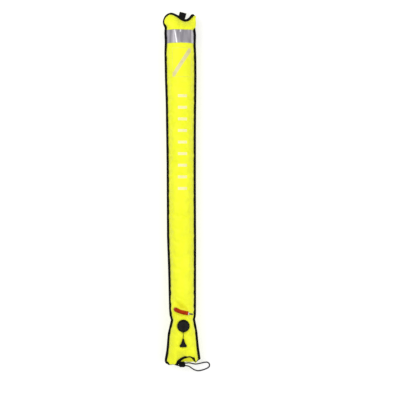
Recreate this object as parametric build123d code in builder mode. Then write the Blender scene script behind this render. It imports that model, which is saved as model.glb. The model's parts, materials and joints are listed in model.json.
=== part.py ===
from build123d import *
import os
from collections import namedtuple
from math import atan, atan2, cos, pi, radians, sin, sqrt, tan

# Diver's surface marker buoy, inflated and lying on its back.
# +Y runs to the top end, +X to the right as seen from the front, +Z out of the front panel.
# The origin is on the floor, under the middle of the buoy's length and width.

# Tube
LENGTH = 1412.0            # bottom corner to the tip of the top loop
TUBE_DEPTH = 100.0         # front to back
FLOOR_SQUASH = 3.0         # how far the soft back is flattened by the floor
PANEL_THICK = 0.5          # coated fabric of one panel at the weld flange
BOTTOM_Y = -LENGTH / 2
TOP_Y = LENGTH / 2
SEAM_Z = TUBE_DEPTH / 2

# Binding tape, folded over the weld
BINDING_WIDTH = 8.5
BINDING_WALL = 0.7
BINDING_HALF = PANEL_THICK + BINDING_WALL
BULGE_GAP = 0.6            # between the binding's inner edge and the inflated part
END_BINDING = 60.0         # how far the end lengths of tape reach along the sides

# Seam corners at the two ends: place and rounding radius
Corner = namedtuple("Corner", "x y radius")
BOTTOM_WAVE = (
    Corner(-71.0, BOTTOM_Y, 26.0),
    Corner(-22.0, BOTTOM_Y, 14.0),
    Corner(4.0, BOTTOM_Y + 22.5, 70.0),
    Corner(33.0, BOTTOM_Y + 34, 16.0),
    Corner(56.5, BOTTOM_Y + 5, 5.0),
    Corner(75.5, BOTTOM_Y + 20, 14.0),
)
TOP_WAVE = (
    Corner(56.5, TOP_Y - 14, 9.5),
    Corner(43.5, TOP_Y - 3.5, 9.5),
    Corner(17.5, TOP_Y - 35.5, 22.0),
    Corner(-37.0, TOP_Y - 1, 24.0),
    Corner(-65.0, TOP_Y - 13, 32.0),
    Corner(-78.0, TOP_Y - 41, 30.0),
)
SIDE_RADIUS = 12.0         # rounding of the seam between its straight sides

# Sections of the tube: place along the buoy, outer edge of the seam at left and right,
# and half the depth of the tube there
Section = namedtuple("Section", "y left right depth")
WAIST_UP = 180.0
HIP_RISE = 26.0            # above the waist
CHEST_DOWN = 190.0
NECK_DOWN = 127.0
COLLAR_DOWN = 71.0
NECK_FALL = 2.0            # how much lower the tube is at the neck than at the chest
COLLAR_FALL = 8.0          # and at the collar
WAIST = Section(BOTTOM_Y + WAIST_UP, -42.5, 51.5, SEAM_Z)
HIP = Section(WAIST.y + HIP_RISE, -47.5, 56.5, SEAM_Z)
CHEST = Section(TOP_Y - CHEST_DOWN, -65.5, 57.0, SEAM_Z)
NECK = Section(TOP_Y - NECK_DOWN, -66.5, 57.0, SEAM_Z - NECK_FALL)
COLLAR = Section(TOP_Y - COLLAR_DOWN, -66.5, 55.5, SEAM_Z - COLLAR_FALL)
LEG_SECTIONS = (
    # height above the bottom corner, half depth: the tube flattens from the waist to the foot
    (66.0, 35.0),
    (84.0, 40.5),
    (106.0, 44.5),
    (140.0, 48.5),
)
DOME_SHARES = (0.3, 0.55, 0.75, 0.9, 0.98)   # stations of a rounded end, shares of its length
FOOT_DOME = 21.0           # length of the rounded end below the foot
CROWN_DOME = 20.0          # length of the rounded end above the collar

# Puffed corners beside the dips of the seam, each from inside the tube to its low end
LEFT_EAR = (
    Section(COLLAR.y, -66.0, 20.0, 24.0),
    Section(TOP_Y - 50, -70.5, 14.0, 27.0),
    Section(TOP_Y - 35, -70.0, 5.0, 20.0),
    Section(TOP_Y - 24, -66.0, -12.0, 12.0),
    Section(TOP_Y - 19, -62.0, -20.0, 6.0),
)
RIGHT_EAR = (
    Section(COLLAR.y, 2.0, 55.0, 14.0),
    Section(TOP_Y - 50, 6.0, 55.5, 15.0),
    Section(TOP_Y - 36, 21.0, 56.0, 8.0),
    Section(TOP_Y - 28, 28.0, 56.0, 4.0),
)
LEFT_FOOT = (
    Section(BOTTOM_Y + 70, -59.0, 25.0, 20.0),
    Section(BOTTOM_Y + 45, -63.0, 10.0, 26.0),
    Section(BOTTOM_Y + 30, -66.0, 0.0, 22.0),
    Section(BOTTOM_Y + 18, -64.5, -12.0, 14.0),
    Section(BOTTOM_Y + 12, -58.0, -18.0, 7.0),
)
RIGHT_FOOT = (
    Section(BOTTOM_Y + 70, 20.0, 67.0, 13.0),
    Section(BOTTOM_Y + 47, 31.0, 71.0, 11.0),
    Section(BOTTOM_Y + 37, 42.0, 72.0, 6.0),
    Section(BOTTOM_Y + 31, 46.5, 72.5, 3.5),
)
PUFFED_CORNERS = (LEFT_EAR, RIGHT_EAR, LEFT_FOOT, RIGHT_FOOT)

# Reflective band round the tube between the neck and the collar
BAND_THICK = 0.4
BAND_GAP = 0.2             # between the tape and the curved fabric

# Webbing loop in the top seam
LOOP_WIDTH = 25.0
LOOP_THICK = 1.6
LOOP_HEIGHT = 22.5
LOOP_OPEN = 8.0            # clear gap inside the loop
LOOP_X = 1.2
LOOP_LEAN = 16.0
LOOP_LAP = 5.0             # how far its legs lie on the binding
LOOP_FLAT = 2.0            # where its legs leave the seam plane, above the seam
LOOP_SPREAD = 8.0          # where they reach the full opening
LOOP_BEND = 4.0            # radius of a leg's bends
LOOP_CROWN = 0.9           # radius of the loop's top, a share of half its opening

# Relief valve on the front panel, below the waist
VALVE_X = 7.6
VALVE_DROP = 20.0          # below the waist
VALVE_Y = WAIST.y - VALVE_DROP
VALVE_RADIUS = 25.0
SEAT_DROP = 2.0            # the fabric under the valve is pulled flat, this far below its crest
SEAT_MARGIN = 2.5
SEAT_SKIRT = 14.0          # height of the fabric's slope round the seat
BASE_THICK = 3.0
AIRWAY_RADIUS = 10.0
LIP_WIDTH = 2.0
LIP_HEIGHT = 1.2
CAP_HEIGHT = 13.0
CAP_WALL = 2.2
CAP_RIM = 4.0              # height of the upright rim below the sloping shoulder
CAP_SHOULDER = 8.5         # width of the sloping shoulder
CAP_CROWN_RADIUS = VALVE_RADIUS - CAP_SHOULDER
CAP_EDGE = 1.2             # rounding of the shoulder's two edges
VENT_COUNT = 12
VENT_WIDTH = 3.2
POPPET_THICK = 2.0
POPPET_LAP = 3.0           # overlap of the poppet beyond the airway
STEM_RADIUS = 3.0
STEM_RISE = 5.6            # above the cap
STEM_CLEARANCE = 0.2
GUIDE_GAP = 3.0            # between the two cheeks that guide the pull cord
GUIDE_CHEEK = 2.0
GUIDE_REACH = 3.0

# Pull cord and pull knob
PULL_CORD_RADIUS = 1.0
CORD_HOLE_CLEARANCE = 0.3
KNOB_X = 7.0
KNOB_DROP = 50.0           # from the valve's middle to the knob's top
KNOB_TOP_Y = VALVE_Y - KNOB_DROP
KNOB_HEIGHT = 36.0
KNOB_TOP_WIDTH = 7.0
KNOB_WAIST_WIDTH = 16.4    # at the hollow of its flanks, half way down
KNOB_BASE_WIDTH = 30.0
KNOB_THICK = 7.0
KNOB_FOOT = 7.0            # height of its slanting feet
KNOB_ROUND = 3.0           # rounding of its outline
KNOB_FILLET = 2.0
KNOB_HOLLOW = 1.2          # how far its base is hollowed
KNOB_GAP = 0.3             # between the knob and the fabric that it lies on
KNOB_MOUTH = 6.0           # the cord runs straight to the knob from this far off
KNOB_INSIDE = 7.0          # and ends this deep in its bore

# Oral inflator above the waist
INFLATOR_X = -22.8
INFLATOR_UP = 45.0         # above the waist
INFLATOR_Y = WAIST.y + INFLATOR_UP
ELBOW_TURN = -22.0         # direction of the tube as it leaves its elbow, in degrees from +X
MOUTH_TURN = -12.0         # and at its mouth
INFLATOR_RADIUS = 8.0
INFLATOR_BORE = 4.7
ELBOW_RUN = 23.5           # from the elbow's axis to the middle of the tube's curve
MOUTH_RUN = 29.0           # and from there to the mouth
INFLATOR_CURVE = 70.0      # radius of that curve
INFLATOR_BEND = 12.0
INFLATOR_GAP = 1.0         # between the tube and the crest of the fabric
COLLAR_RADIUS = 12.0
COLLAR_THICK = 2.5
COLLAR_SKIRT = 12.0
COLLAR_CLEARANCE = 0.1
NIPPLE_RADIUS = 4.45
NIPPLE_BORE = 2.0
NIPPLE_INSIDE = 12.0       # length held in the tube
NIPPLE_OUT = 18.5          # length beyond the mouth
NIPPLE_STEM_RADIUS = 3.6   # beyond the mouth
NIPPLE_RING_RADIUS = 7.2
NIPPLE_RING_AT = 1.0
NIPPLE_RING_WIDTH = 2.0
NIPPLE_GROOVE = 0.9        # depth of the coupling's groove
NIPPLE_GROOVE_WIDTH = 3.0
NIPPLE_TIP = 1.2

# Bungee at the bottom end, with its cord lock
BUNGEE_RADIUS = 2.5
LOCK_X = 2.2
LOCK_Y = BOTTOM_Y + 2.0
LOCK_WIDTH = 26.0
LOCK_HEIGHT = 22.0
LOCK_THICK = 11.0
LOCK_ROUND = 7.5
LOCK_FILLET = 2.0
STRAND_SPREAD = 10.0       # between the two strands in the lock
STRAND_CLEARANCE = 0.5
STRAND_Z = SEAM_Z - BINDING_HALF - BUNGEE_RADIUS - STRAND_CLEARANCE
BUTTON_LENGTH = 16.0
BUTTON_WIDTH = 11.0
BUTTON_RISE = 5.0
BUTTON_SUNK = 1.5
BUTTON_CLEARANCE = 0.3
BUTTON_FILLET = 2.0
ANCHOR_LENGTH = 15.0
ANCHOR_X = -47.0
ANCHOR_Y = BOTTOM_Y + 3.2
ANCHOR_WALL = 1.2
STRAIGHT_OUT = 8.5         # the strands leave the anchor straight for this far
LOCK_MARGIN = 2.5          # and run straight this far on each side of the lock

os.makedirs("parts", exist_ok=True)


def save(builder, name):
    """Label a finished piece and write it."""
    builder.part.label = name
    export_step(builder.part, f"parts/{name}.step")


def dome(last, length, direction):
    """Sections of a rounded end, a quarter ellipse in depth beyond the last section."""
    return [
        Section(last.y + direction * length * share, last.left, last.right,
                last.depth * sqrt(1 - share * share))
        for share in DOME_SHARES
    ]


def leg_section(height, depth):
    """Section below the waist, where the seam runs straight to the two bottom corners."""
    y = BOTTOM_Y + height
    left, right = (
        edge + (corner.x - edge) * (WAIST.y - y) / (WAIST.y - corner.y)
        for edge, corner in ((WAIST.left, BOTTOM_WAVE[0]), (WAIST.right, BOTTOM_WAVE[-1]))
    )
    return Section(y, left, right, depth)


LEGS = [leg_section(height, depth) for height, depth in LEG_SECTIONS]
SECTIONS = [*LEGS, WAIST, HIP, CHEST, NECK, COLLAR]
FOOT_END = dome(LEGS[0], FOOT_DOME, -1)
CROWN_END = dome(COLLAR, CROWN_DOME, 1)
INSET = BINDING_WIDTH + BULGE_GAP


def surface_z(x, y):
    """Height of the front panel at a place between two sections."""
    for low, high in zip(SECTIONS, SECTIONS[1:]):
        if low.y <= y <= high.y:
            share = (y - low.y) / (high.y - low.y)
            left, right, depth = (
                getattr(low, key) + share * (getattr(high, key) - getattr(low, key))
                for key in ("left", "right", "depth")
            )
            half = (right - left) / 2 - INSET
            radius = (half * half + depth * depth) / (2 * depth)
            across = x - (left + right) / 2
            return SEAM_Z + depth - radius + sqrt(radius * radius - across * across)
    raise ValueError("place beyond the tube's sections")


def half_lens(section, side, grow=0.0):
    """Half a cross-section: its chord in the seam plane and an arc over it."""
    left = section.left + INSET - grow
    right = section.right - INSET + grow
    crest = SEAM_Z + side * (section.depth + grow)
    middle = (left + right) / 2
    with BuildSketch(Plane.XZ.offset(-section.y)) as lens:
        with BuildLine():
            Polyline((left, SEAM_Z), (middle, SEAM_Z), (right, SEAM_Z))
            arc = ThreePointArc((right, SEAM_Z), (middle, crest), (left, SEAM_Z), mode=Mode.PRIVATE)
            add([arc.trim(0, 0.5), arc.trim(0.5, 1)])
        make_face()
    return lens.sketch


def seam_corners():
    """Corners of the closed seam, anticlockwise from the bottom left."""
    sides = (WAIST, HIP, CHEST, NECK, COLLAR)
    right = [Corner(s.right, s.y, SIDE_RADIUS) for s in sides]
    left = [Corner(s.left, s.y, SIDE_RADIUS) for s in reversed(sides)]
    return [*BOTTOM_WAVE, *right, *TOP_WAVE, *left]


def seam_face(z, inset):
    """Level face inside the seam's outline, drawn in by an inset."""
    corners = seam_corners()
    with BuildSketch(Plane.XY.offset(z)) as face:
        with BuildLine():
            FilletPolyline(
                *[(c.x, c.y) for c in corners], radius=[c.radius for c in corners], close=True
            )
        make_face()
        if inset:
            offset(amount=-inset)
    return face.sketch


def inflate(side):
    """Body of one panel: lofted through its half sections, with its weld flange."""
    squash = FLOOR_SQUASH if side < 0 else 0
    tube = [s._replace(depth=s.depth + squash) if s.depth == SEAM_Z else s for s in SECTIONS]
    stations = [*reversed(FOOT_END), *tube, *CROWN_END]
    for lengthwise in (stations, *PUFFED_CORNERS):
        loft([half_lens(station, side) for station in lengthwise], ruled=True)
    extrude(seam_face(SEAM_Z, BINDING_WALL), amount=side * PANEL_THICK)


# Front panel, pulled flat where the valve and the inflator are welded in
SEAT_Z = surface_z(VALVE_X, VALVE_Y) - SEAT_DROP
SEAT_RADIUS = VALVE_RADIUS + SEAT_MARGIN
INFLATOR_SEAT_Z = surface_z(INFLATOR_X, INFLATOR_Y)

with BuildPart() as front_panel:
    inflate(1)
    with Locations((VALVE_X, VALVE_Y, SEAT_Z)):
        Cone(SEAT_RADIUS + SEAT_SKIRT, SEAT_RADIUS, SEAT_SKIRT,
             align=(Align.CENTER, Align.CENTER, Align.MAX))
        Cylinder(SEAT_RADIUS, SEAT_SKIRT, align=(Align.CENTER, Align.CENTER, Align.MIN),
                 mode=Mode.SUBTRACT)
    with Locations((INFLATOR_X, INFLATOR_Y, INFLATOR_SEAT_Z)):
        Cone(COLLAR_RADIUS + COLLAR_SKIRT, COLLAR_RADIUS, COLLAR_SKIRT,
             align=(Align.CENTER, Align.CENTER, Align.MAX))
        Cylinder(COLLAR_RADIUS, COLLAR_SKIRT, align=(Align.CENTER, Align.CENTER, Align.MIN),
                 mode=Mode.SUBTRACT)
save(front_panel, "front_panel")

# Back panel, with the flat that the floor presses into it
with BuildPart() as back_panel:
    inflate(-1)
    split(bisect_by=Plane.XY, keep=Keep.TOP)
save(back_panel, "back_panel")

# Binding tape: a folded strip over the weld flange, in four lengths
SIDE_MIDDLE_X = (HIP.left + HIP.right) / 2
LEFT_X, RIGHT_X = SIDE_MIDDLE_X - LENGTH, SIDE_MIDDLE_X + LENGTH
LOW_JOIN, HIGH_JOIN = BOTTOM_Y + END_BINDING, TOP_Y - END_BINDING
Length = namedtuple("Length", "name left right low high")
BINDING_LENGTHS = (
    # the part of the seam that each length of tape covers
    Length("binding_bottom", LEFT_X, RIGHT_X, LOW_JOIN - LENGTH, LOW_JOIN),
    Length("binding_top", LEFT_X, RIGHT_X, HIGH_JOIN, HIGH_JOIN + LENGTH),
    Length("binding_left", LEFT_X, SIDE_MIDDLE_X, LOW_JOIN, HIGH_JOIN),
    Length("binding_right", SIDE_MIDDLE_X, RIGHT_X, LOW_JOIN, HIGH_JOIN),
)
FOLD_Z, WELD_Z = SEAM_Z - BINDING_HALF, SEAM_Z - PANEL_THICK

for tape in BINDING_LENGTHS:
    with BuildPart() as binding:
        extrude(seam_face(FOLD_Z, 0), amount=2 * BINDING_HALF)
        extrude(seam_face(FOLD_Z, BINDING_WIDTH), amount=2 * BINDING_HALF, mode=Mode.SUBTRACT)
        extrude(seam_face(WELD_Z, BINDING_WALL), amount=2 * PANEL_THICK, mode=Mode.SUBTRACT)
        with Locations(((tape.left + tape.right) / 2, (tape.low + tape.high) / 2, SEAM_Z)):
            Box(tape.right - tape.left, tape.high - tape.low, TUBE_DEPTH, mode=Mode.INTERSECT)
    save(binding, tape.name)

# Reflective band, a strip on the front and one on the back
for band_name, side in (("reflective_band_front", 1), ("reflective_band_back", -1)):
    with BuildPart() as band:
        for grow, mode in ((BAND_GAP + BAND_THICK, Mode.ADD), (BAND_GAP, Mode.SUBTRACT)):
            ends = [half_lens(section, side, grow) for section in (NECK, COLLAR)]
            loft(ends, ruled=True, mode=mode)
        split(bisect_by=Plane.XY.offset(SEAM_Z + side * (BINDING_HALF + BULGE_GAP)),
              keep=Keep.TOP if side > 0 else Keep.BOTTOM)
    save(band, band_name)

# Webbing loop: its legs lie on both faces of the top binding, and it opens above the seam
lean = radians(LOOP_LEAN)
LOOP_RISE = Vector(sin(lean), cos(lean), 0)
LOOP_ACROSS = Vector(cos(lean), -sin(lean), 0)
dip, crest = TOP_WAVE[2], TOP_WAVE[3]
LOOP_Y = crest.y + (dip.y - crest.y) * (LOOP_X - crest.x) / (dip.x - crest.x)
LEG_Z = BINDING_HALF + LOOP_THICK / 2
OPEN_Z = (LOOP_OPEN + LOOP_THICK) / 2
LOOP_TOP = LOOP_HEIGHT - LOOP_THICK / 2
FRONT_LEG = (
    (-LOOP_LAP, LEG_Z), (LOOP_FLAT, LEG_Z), (LOOP_SPREAD, OPEN_Z), (LOOP_TOP, OPEN_Z),
)
BACK_LEG = [(rise, -out) for rise, out in reversed(FRONT_LEG)]
LEG_RADII = (LOOP_BEND, LOOP_BEND, OPEN_Z * LOOP_CROWN)
LOOP_PLANE = Plane(origin=(LOOP_X, LOOP_Y, SEAM_Z), x_dir=LOOP_RISE, z_dir=LOOP_ACROSS)

with BuildPart() as top_loop:
    with BuildLine(LOOP_PLANE):
        FilletPolyline(*FRONT_LEG, *BACK_LEG, radius=[*LEG_RADII, *reversed(LEG_RADII)])
    with BuildSketch(Plane(origin=LOOP_PLANE.from_local_coords((-LOOP_LAP, LEG_Z, 0)),
                           x_dir=LOOP_ACROSS, z_dir=LOOP_RISE)):
        Rectangle(LOOP_WIDTH, LOOP_THICK)
    sweep()
save(top_loop, "top_loop")

# Relief valve: base ring welded into the fabric, with the lip that the poppet closes on
VALVE_PLANE = Plane(origin=(VALVE_X, VALVE_Y, SEAT_Z), x_dir=(1, 0, 0), z_dir=(0, -1, 0))
CAP_TOP = BASE_THICK + CAP_HEIGHT
LIP_TOP = BASE_THICK + LIP_HEIGHT
VALVE_AXIS = Axis((VALVE_X, VALVE_Y, SEAT_Z), (0, 0, 1))

with BuildPart() as valve_base:
    with BuildSketch(VALVE_PLANE):
        with BuildLine():
            Polyline(
                (AIRWAY_RADIUS, 0), (VALVE_RADIUS, 0), (VALVE_RADIUS, BASE_THICK),
                (AIRWAY_RADIUS + LIP_WIDTH, BASE_THICK), (AIRWAY_RADIUS + LIP_WIDTH, LIP_TOP),
                (AIRWAY_RADIUS, LIP_TOP), close=True,
            )
        make_face()
    revolve(axis=VALVE_AXIS)
save(valve_base, "valve_base")

# Vented cap: a hollow shell with slots through its sloping shoulder and a guide for the cord
SHOULDER = atan2(CAP_HEIGHT - CAP_RIM, VALVE_RADIUS - CAP_CROWN_RADIUS)
INNER_CROWN = CAP_CROWN_RADIUS - CAP_WALL * tan(SHOULDER / 2)
INNER_RIM = CAP_RIM - CAP_WALL * tan((radians(90) - SHOULDER) / 2)

with BuildPart() as valve_cap:
    with BuildSketch(VALVE_PLANE):
        with BuildLine():
            outside = FilletPolyline(
                (STEM_RADIUS + STEM_CLEARANCE, CAP_TOP), (CAP_CROWN_RADIUS, CAP_TOP),
                (VALVE_RADIUS, BASE_THICK + CAP_RIM), (VALVE_RADIUS, BASE_THICK),
                radius=CAP_EDGE,
            )
            Polyline(
                outside @ 1, (VALVE_RADIUS - CAP_WALL, BASE_THICK),
                (VALVE_RADIUS - CAP_WALL, BASE_THICK + INNER_RIM),
                (INNER_CROWN, CAP_TOP - CAP_WALL),
                (STEM_RADIUS + STEM_CLEARANCE, CAP_TOP - CAP_WALL), outside @ 0,
            )
        make_face()
    revolve(axis=VALVE_AXIS)
    with BuildSketch(Plane.XY.offset(SEAT_Z + BASE_THICK + CAP_RIM)):
        with Locations((VALVE_X, VALVE_Y)):
            with PolarLocations((CAP_CROWN_RADIUS + VALVE_RADIUS) / 2, VENT_COUNT,
                                start_angle=180 / VENT_COUNT):
                SlotOverall(CAP_SHOULDER - CAP_WALL, VENT_WIDTH)
    extrude(amount=CAP_HEIGHT, mode=Mode.SUBTRACT)
    with BuildSketch(Plane.XY.offset(SEAT_Z + BASE_THICK)):
        with Locations((VALVE_X - (GUIDE_GAP + GUIDE_CHEEK) / 2, VALVE_Y - VALVE_RADIUS),
                       (VALVE_X + (GUIDE_GAP + GUIDE_CHEEK) / 2, VALVE_Y - VALVE_RADIUS)):
            Rectangle(GUIDE_CHEEK, 2 * GUIDE_REACH)
        with Locations((VALVE_X, VALVE_Y)):
            Circle(VALVE_RADIUS - CAP_WALL / 2, mode=Mode.SUBTRACT)
    extrude(amount=CAP_RIM + GUIDE_REACH)
save(valve_cap, "valve_cap")

# Poppet: a disc on the base's lip, with the stem that the cord is tied to
EYE_Z = CAP_TOP + STEM_RISE - STEM_RADIUS
POPPET_RADIUS = AIRWAY_RADIUS + POPPET_LAP

with BuildPart() as valve_poppet:
    with BuildSketch(VALVE_PLANE):
        with BuildLine():
            Polyline(
                (0, LIP_TOP), (POPPET_RADIUS, LIP_TOP), (POPPET_RADIUS, LIP_TOP + POPPET_THICK),
                (STEM_RADIUS, LIP_TOP + POPPET_THICK), (STEM_RADIUS, CAP_TOP + STEM_RISE),
                (0, CAP_TOP + STEM_RISE), close=True,
            )
        make_face()
    revolve(axis=VALVE_AXIS)
    with Locations(VALVE_PLANE * Location((0, EYE_Z, 0))):
        Hole(PULL_CORD_RADIUS + CORD_HOLE_CLEARANCE, 2 * STEM_RADIUS)
save(valve_poppet, "valve_poppet")

# Pull knob: a flat bell that lies on the fabric, bored for the cord and its knot
KNOB_MIDDLE_Y = KNOB_TOP_Y - KNOB_HEIGHT / 2
knob_slope = atan(surface_z(KNOB_X, KNOB_MIDDLE_Y + 0.5) - surface_z(KNOB_X, KNOB_MIDDLE_Y - 0.5))
KNOB_TOP_Z = surface_z(KNOB_X, KNOB_MIDDLE_Y) + KNOB_GAP + tan(knob_slope) * KNOB_HEIGHT / 2
KNOB_PLANE = Plane(
    origin=(KNOB_X, KNOB_TOP_Y, KNOB_TOP_Z),
    x_dir=(1, 0, 0), z_dir=(0, -sin(knob_slope), cos(knob_slope)),
)
KNOB_TOP_PLANE = Plane(
    origin=KNOB_PLANE.from_local_coords((0, 0, KNOB_THICK / 2)),
    x_dir=(1, 0, 0), z_dir=KNOB_PLANE.y_dir,
)
TOP_HALF, WAIST_HALF, BASE_HALF = KNOB_TOP_WIDTH / 2, KNOB_WAIST_WIDTH / 2, KNOB_BASE_WIDTH / 2
FOOT_START, FOOT_FLAT = -KNOB_HEIGHT + KNOB_FOOT, BASE_HALF - KNOB_FOOT / 2

with BuildPart() as pull_knob:
    with BuildSketch(KNOB_PLANE) as knob_face:
        with BuildLine():
            ThreePointArc((TOP_HALF, 0), (WAIST_HALF, -KNOB_HEIGHT / 2), (BASE_HALF, FOOT_START))
            Line((BASE_HALF, FOOT_START), (FOOT_FLAT, -KNOB_HEIGHT))
            ThreePointArc((FOOT_FLAT, -KNOB_HEIGHT), (0, KNOB_HOLLOW - KNOB_HEIGHT),
                          (-FOOT_FLAT, -KNOB_HEIGHT))
            Line((-FOOT_FLAT, -KNOB_HEIGHT), (-BASE_HALF, FOOT_START))
            ThreePointArc((-BASE_HALF, FOOT_START), (-WAIST_HALF, -KNOB_HEIGHT / 2), (-TOP_HALF, 0))
            Line((-TOP_HALF, 0), (TOP_HALF, 0))
        make_face()
        fillet(knob_face.vertices(), KNOB_ROUND)
    extrude(amount=KNOB_THICK)
    faces = pull_knob.faces().sort_by(Axis(KNOB_PLANE.origin, KNOB_PLANE.z_dir))
    fillet(faces[0].edges() + faces[-1].edges(), KNOB_FILLET)
    with Locations(KNOB_TOP_PLANE):
        Hole(PULL_CORD_RADIUS + CORD_HOLE_CLEARANCE, KNOB_HEIGHT)
save(pull_knob, "pull_knob")


ARC_SHARE = 0.45               # share of a run that the arc at either end may take


def cord_route(name, points):
    """Straight runs joined by the largest arcs that they leave room for."""
    radii = []
    for before, at, after in zip(points, points[1:], points[2:]):
        one = Vector(*at) - Vector(*before)
        two = Vector(*after) - Vector(*at)
        turn = radians(one.get_angle(two))
        radii.append(ARC_SHARE * min(one.length, two.length) / tan(turn / 2))
    print(name, "radii", [round(radius, 1) for radius in radii])
    return FilletPolyline(*points, radius=radii)


def cord_tube(name, points, radius):
    """Plain round tube along a cord's route."""
    with BuildPart() as tube:
        with BuildLine():
            route = cord_route(name, points)
        with BuildSketch(Plane(origin=route @ 0, z_dir=route % 0)):
            Circle(radius)
        sweep()
    print(name, "length", round(route.length, 1), "volume share",
          round(tube.part.volume / (route.length * pi * radius * radius), 4))
    save(tube, name)


# Pull cord: from the stem's eye over the cap's shoulder and through the guide to the knob
PULL_ROUTE = (
    # towards the knob from the rim of the valve, above the valve's seat
    (-VALVE_RADIUS, EYE_Z),
    (-VALVE_RADIUS + 10.0, EYE_Z - 0.2),
    (-CAP_SHOULDER + 3.0, CAP_TOP + 0.4),
    (2.0, BASE_THICK + CAP_RIM + 2.2),
    (7.0, BASE_THICK + 2.2),
    (14.0, BASE_THICK + 0.4),
)
over_valve = [
    (VALVE_X, VALVE_Y - VALVE_RADIUS - towards, SEAT_Z + up) for towards, up in PULL_ROUTE
]
into_knob = [
    tuple(KNOB_TOP_PLANE.from_local_coords((0, 0, reach))) for reach in (KNOB_MOUTH, -KNOB_INSIDE)
]
cord_tube("pull_cord", [*over_valve, *into_knob], PULL_CORD_RADIUS)

# Oral inflator: a welded collar, a red tube that turns to lie across the buoy, and its nipple
leaving, ending = radians(ELBOW_TURN), radians(MOUTH_TURN)
ACROSS = Vector(cos(ending), sin(ending), 0)
ROOT = Vector(INFLATOR_X, INFLATOR_Y, INFLATOR_SEAT_Z)
INFLATOR_Z = TUBE_DEPTH + INFLATOR_GAP + INFLATOR_RADIUS
ELBOW = Vector(INFLATOR_X, INFLATOR_Y, INFLATOR_Z)
CURVE_MIDDLE = ELBOW + Vector(cos(leaving), sin(leaving), 0) * ELBOW_RUN
MOUTH = CURVE_MIDDLE + ACROSS * MOUTH_RUN

with BuildPart() as inflator_collar:
    with BuildSketch(Plane(origin=ROOT, z_dir=(0, 0, 1))):
        Circle(COLLAR_RADIUS)
        Circle(INFLATOR_RADIUS + COLLAR_CLEARANCE, mode=Mode.SUBTRACT)
    extrude(amount=COLLAR_THICK)
    top_edges = inflator_collar.edges().group_by(Axis.Z)[-1]
    chamfer(top_edges.sort_by(SortBy.RADIUS)[-1], COLLAR_THICK / 2)
save(inflator_collar, "inflator_collar")

with BuildPart() as inflator_tube:
    with BuildLine():
        FilletPolyline(ROOT, ELBOW, CURVE_MIDDLE, MOUTH, radius=(INFLATOR_BEND, INFLATOR_CURVE))
    with BuildSketch(Plane(origin=ROOT, z_dir=(0, 0, 1))):
        Circle(INFLATOR_RADIUS)
        Circle(INFLATOR_BORE, mode=Mode.SUBTRACT)
    sweep()
save(inflator_tube, "inflator_tube")

NIPPLE_PLANE = Plane(origin=MOUTH, x_dir=ACROSS, z_dir=(sin(ending), -cos(ending), 0))
RING_END = NIPPLE_RING_AT + NIPPLE_RING_WIDTH
GROOVE_AT = RING_END + NIPPLE_GROOVE_WIDTH
GROOVE_END = GROOVE_AT + NIPPLE_GROOVE_WIDTH

with BuildPart() as inflator_nipple:
    with BuildSketch(NIPPLE_PLANE):
        with BuildLine():
            Polyline(
                (-NIPPLE_INSIDE, NIPPLE_BORE), (-NIPPLE_INSIDE, NIPPLE_RADIUS),
                (NIPPLE_RING_AT, NIPPLE_RADIUS), (NIPPLE_RING_AT, NIPPLE_RING_RADIUS),
                (RING_END, NIPPLE_RING_RADIUS), (RING_END, NIPPLE_STEM_RADIUS),
                (GROOVE_AT, NIPPLE_STEM_RADIUS), (GROOVE_AT, NIPPLE_STEM_RADIUS - NIPPLE_GROOVE),
                (GROOVE_END, NIPPLE_STEM_RADIUS - NIPPLE_GROOVE), (GROOVE_END, NIPPLE_STEM_RADIUS),
                (NIPPLE_OUT - NIPPLE_TIP, NIPPLE_STEM_RADIUS),
                (NIPPLE_OUT, NIPPLE_STEM_RADIUS - NIPPLE_TIP), (NIPPLE_OUT, NIPPLE_BORE), close=True,
            )
        make_face()
    revolve(axis=Axis(MOUTH, ACROSS))
save(inflator_nipple, "inflator_nipple")

# Bungee anchor: webbing sewn under the bottom binding over the ends of the bungee
ANCHOR_TOP = SEAM_Z - BINDING_HALF
ANCHOR_THICK = ANCHOR_TOP - STRAND_Z + BUNGEE_RADIUS + ANCHOR_WALL
STRANDS_APART = 2 * BUNGEE_RADIUS + STRAND_CLEARANCE

with BuildPart() as bungee_anchor:
    with BuildSketch(Plane.XY.offset(ANCHOR_TOP)):
        with Locations((ANCHOR_X, ANCHOR_Y)):
            Rectangle(ANCHOR_LENGTH, STRANDS_APART + 2 * (BUNGEE_RADIUS + ANCHOR_WALL))
    extrude(amount=-ANCHOR_THICK)
    fillet(bungee_anchor.edges().filter_by(Axis.X).group_by(Axis.Z)[0], ANCHOR_THICK / 2)
save(bungee_anchor, "bungee_anchor")

# Cord lock: a flat body with a slot for both strands, and its button
with BuildPart() as lock_body:
    with BuildSketch(Plane.XY.offset(STRAND_Z - LOCK_THICK / 2)):
        with Locations((LOCK_X, LOCK_Y)):
            RectangleRounded(LOCK_WIDTH, LOCK_HEIGHT, LOCK_ROUND)
    extrude(amount=LOCK_THICK)
    levels = lock_body.edges().group_by(Axis.Z)
    fillet(levels[0] + levels[-1], LOCK_FILLET)
    with BuildSketch(Plane.YZ.offset(LOCK_X)):
        with Locations((LOCK_Y, STRAND_Z)):
            slot = 2 * (BUNGEE_RADIUS + STRAND_CLEARANCE)
            SlotOverall(STRAND_SPREAD + slot, slot)
    extrude(amount=LOCK_WIDTH, both=True, mode=Mode.SUBTRACT)
    with BuildSketch(Plane.XY.offset(STRAND_Z + LOCK_THICK / 2)):
        with Locations((LOCK_X, LOCK_Y)):
            SlotOverall(BUTTON_LENGTH + 2 * BUTTON_CLEARANCE, BUTTON_WIDTH + 2 * BUTTON_CLEARANCE)
    extrude(amount=-BUTTON_SUNK, mode=Mode.SUBTRACT)
save(lock_body, "lock_body")

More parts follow.
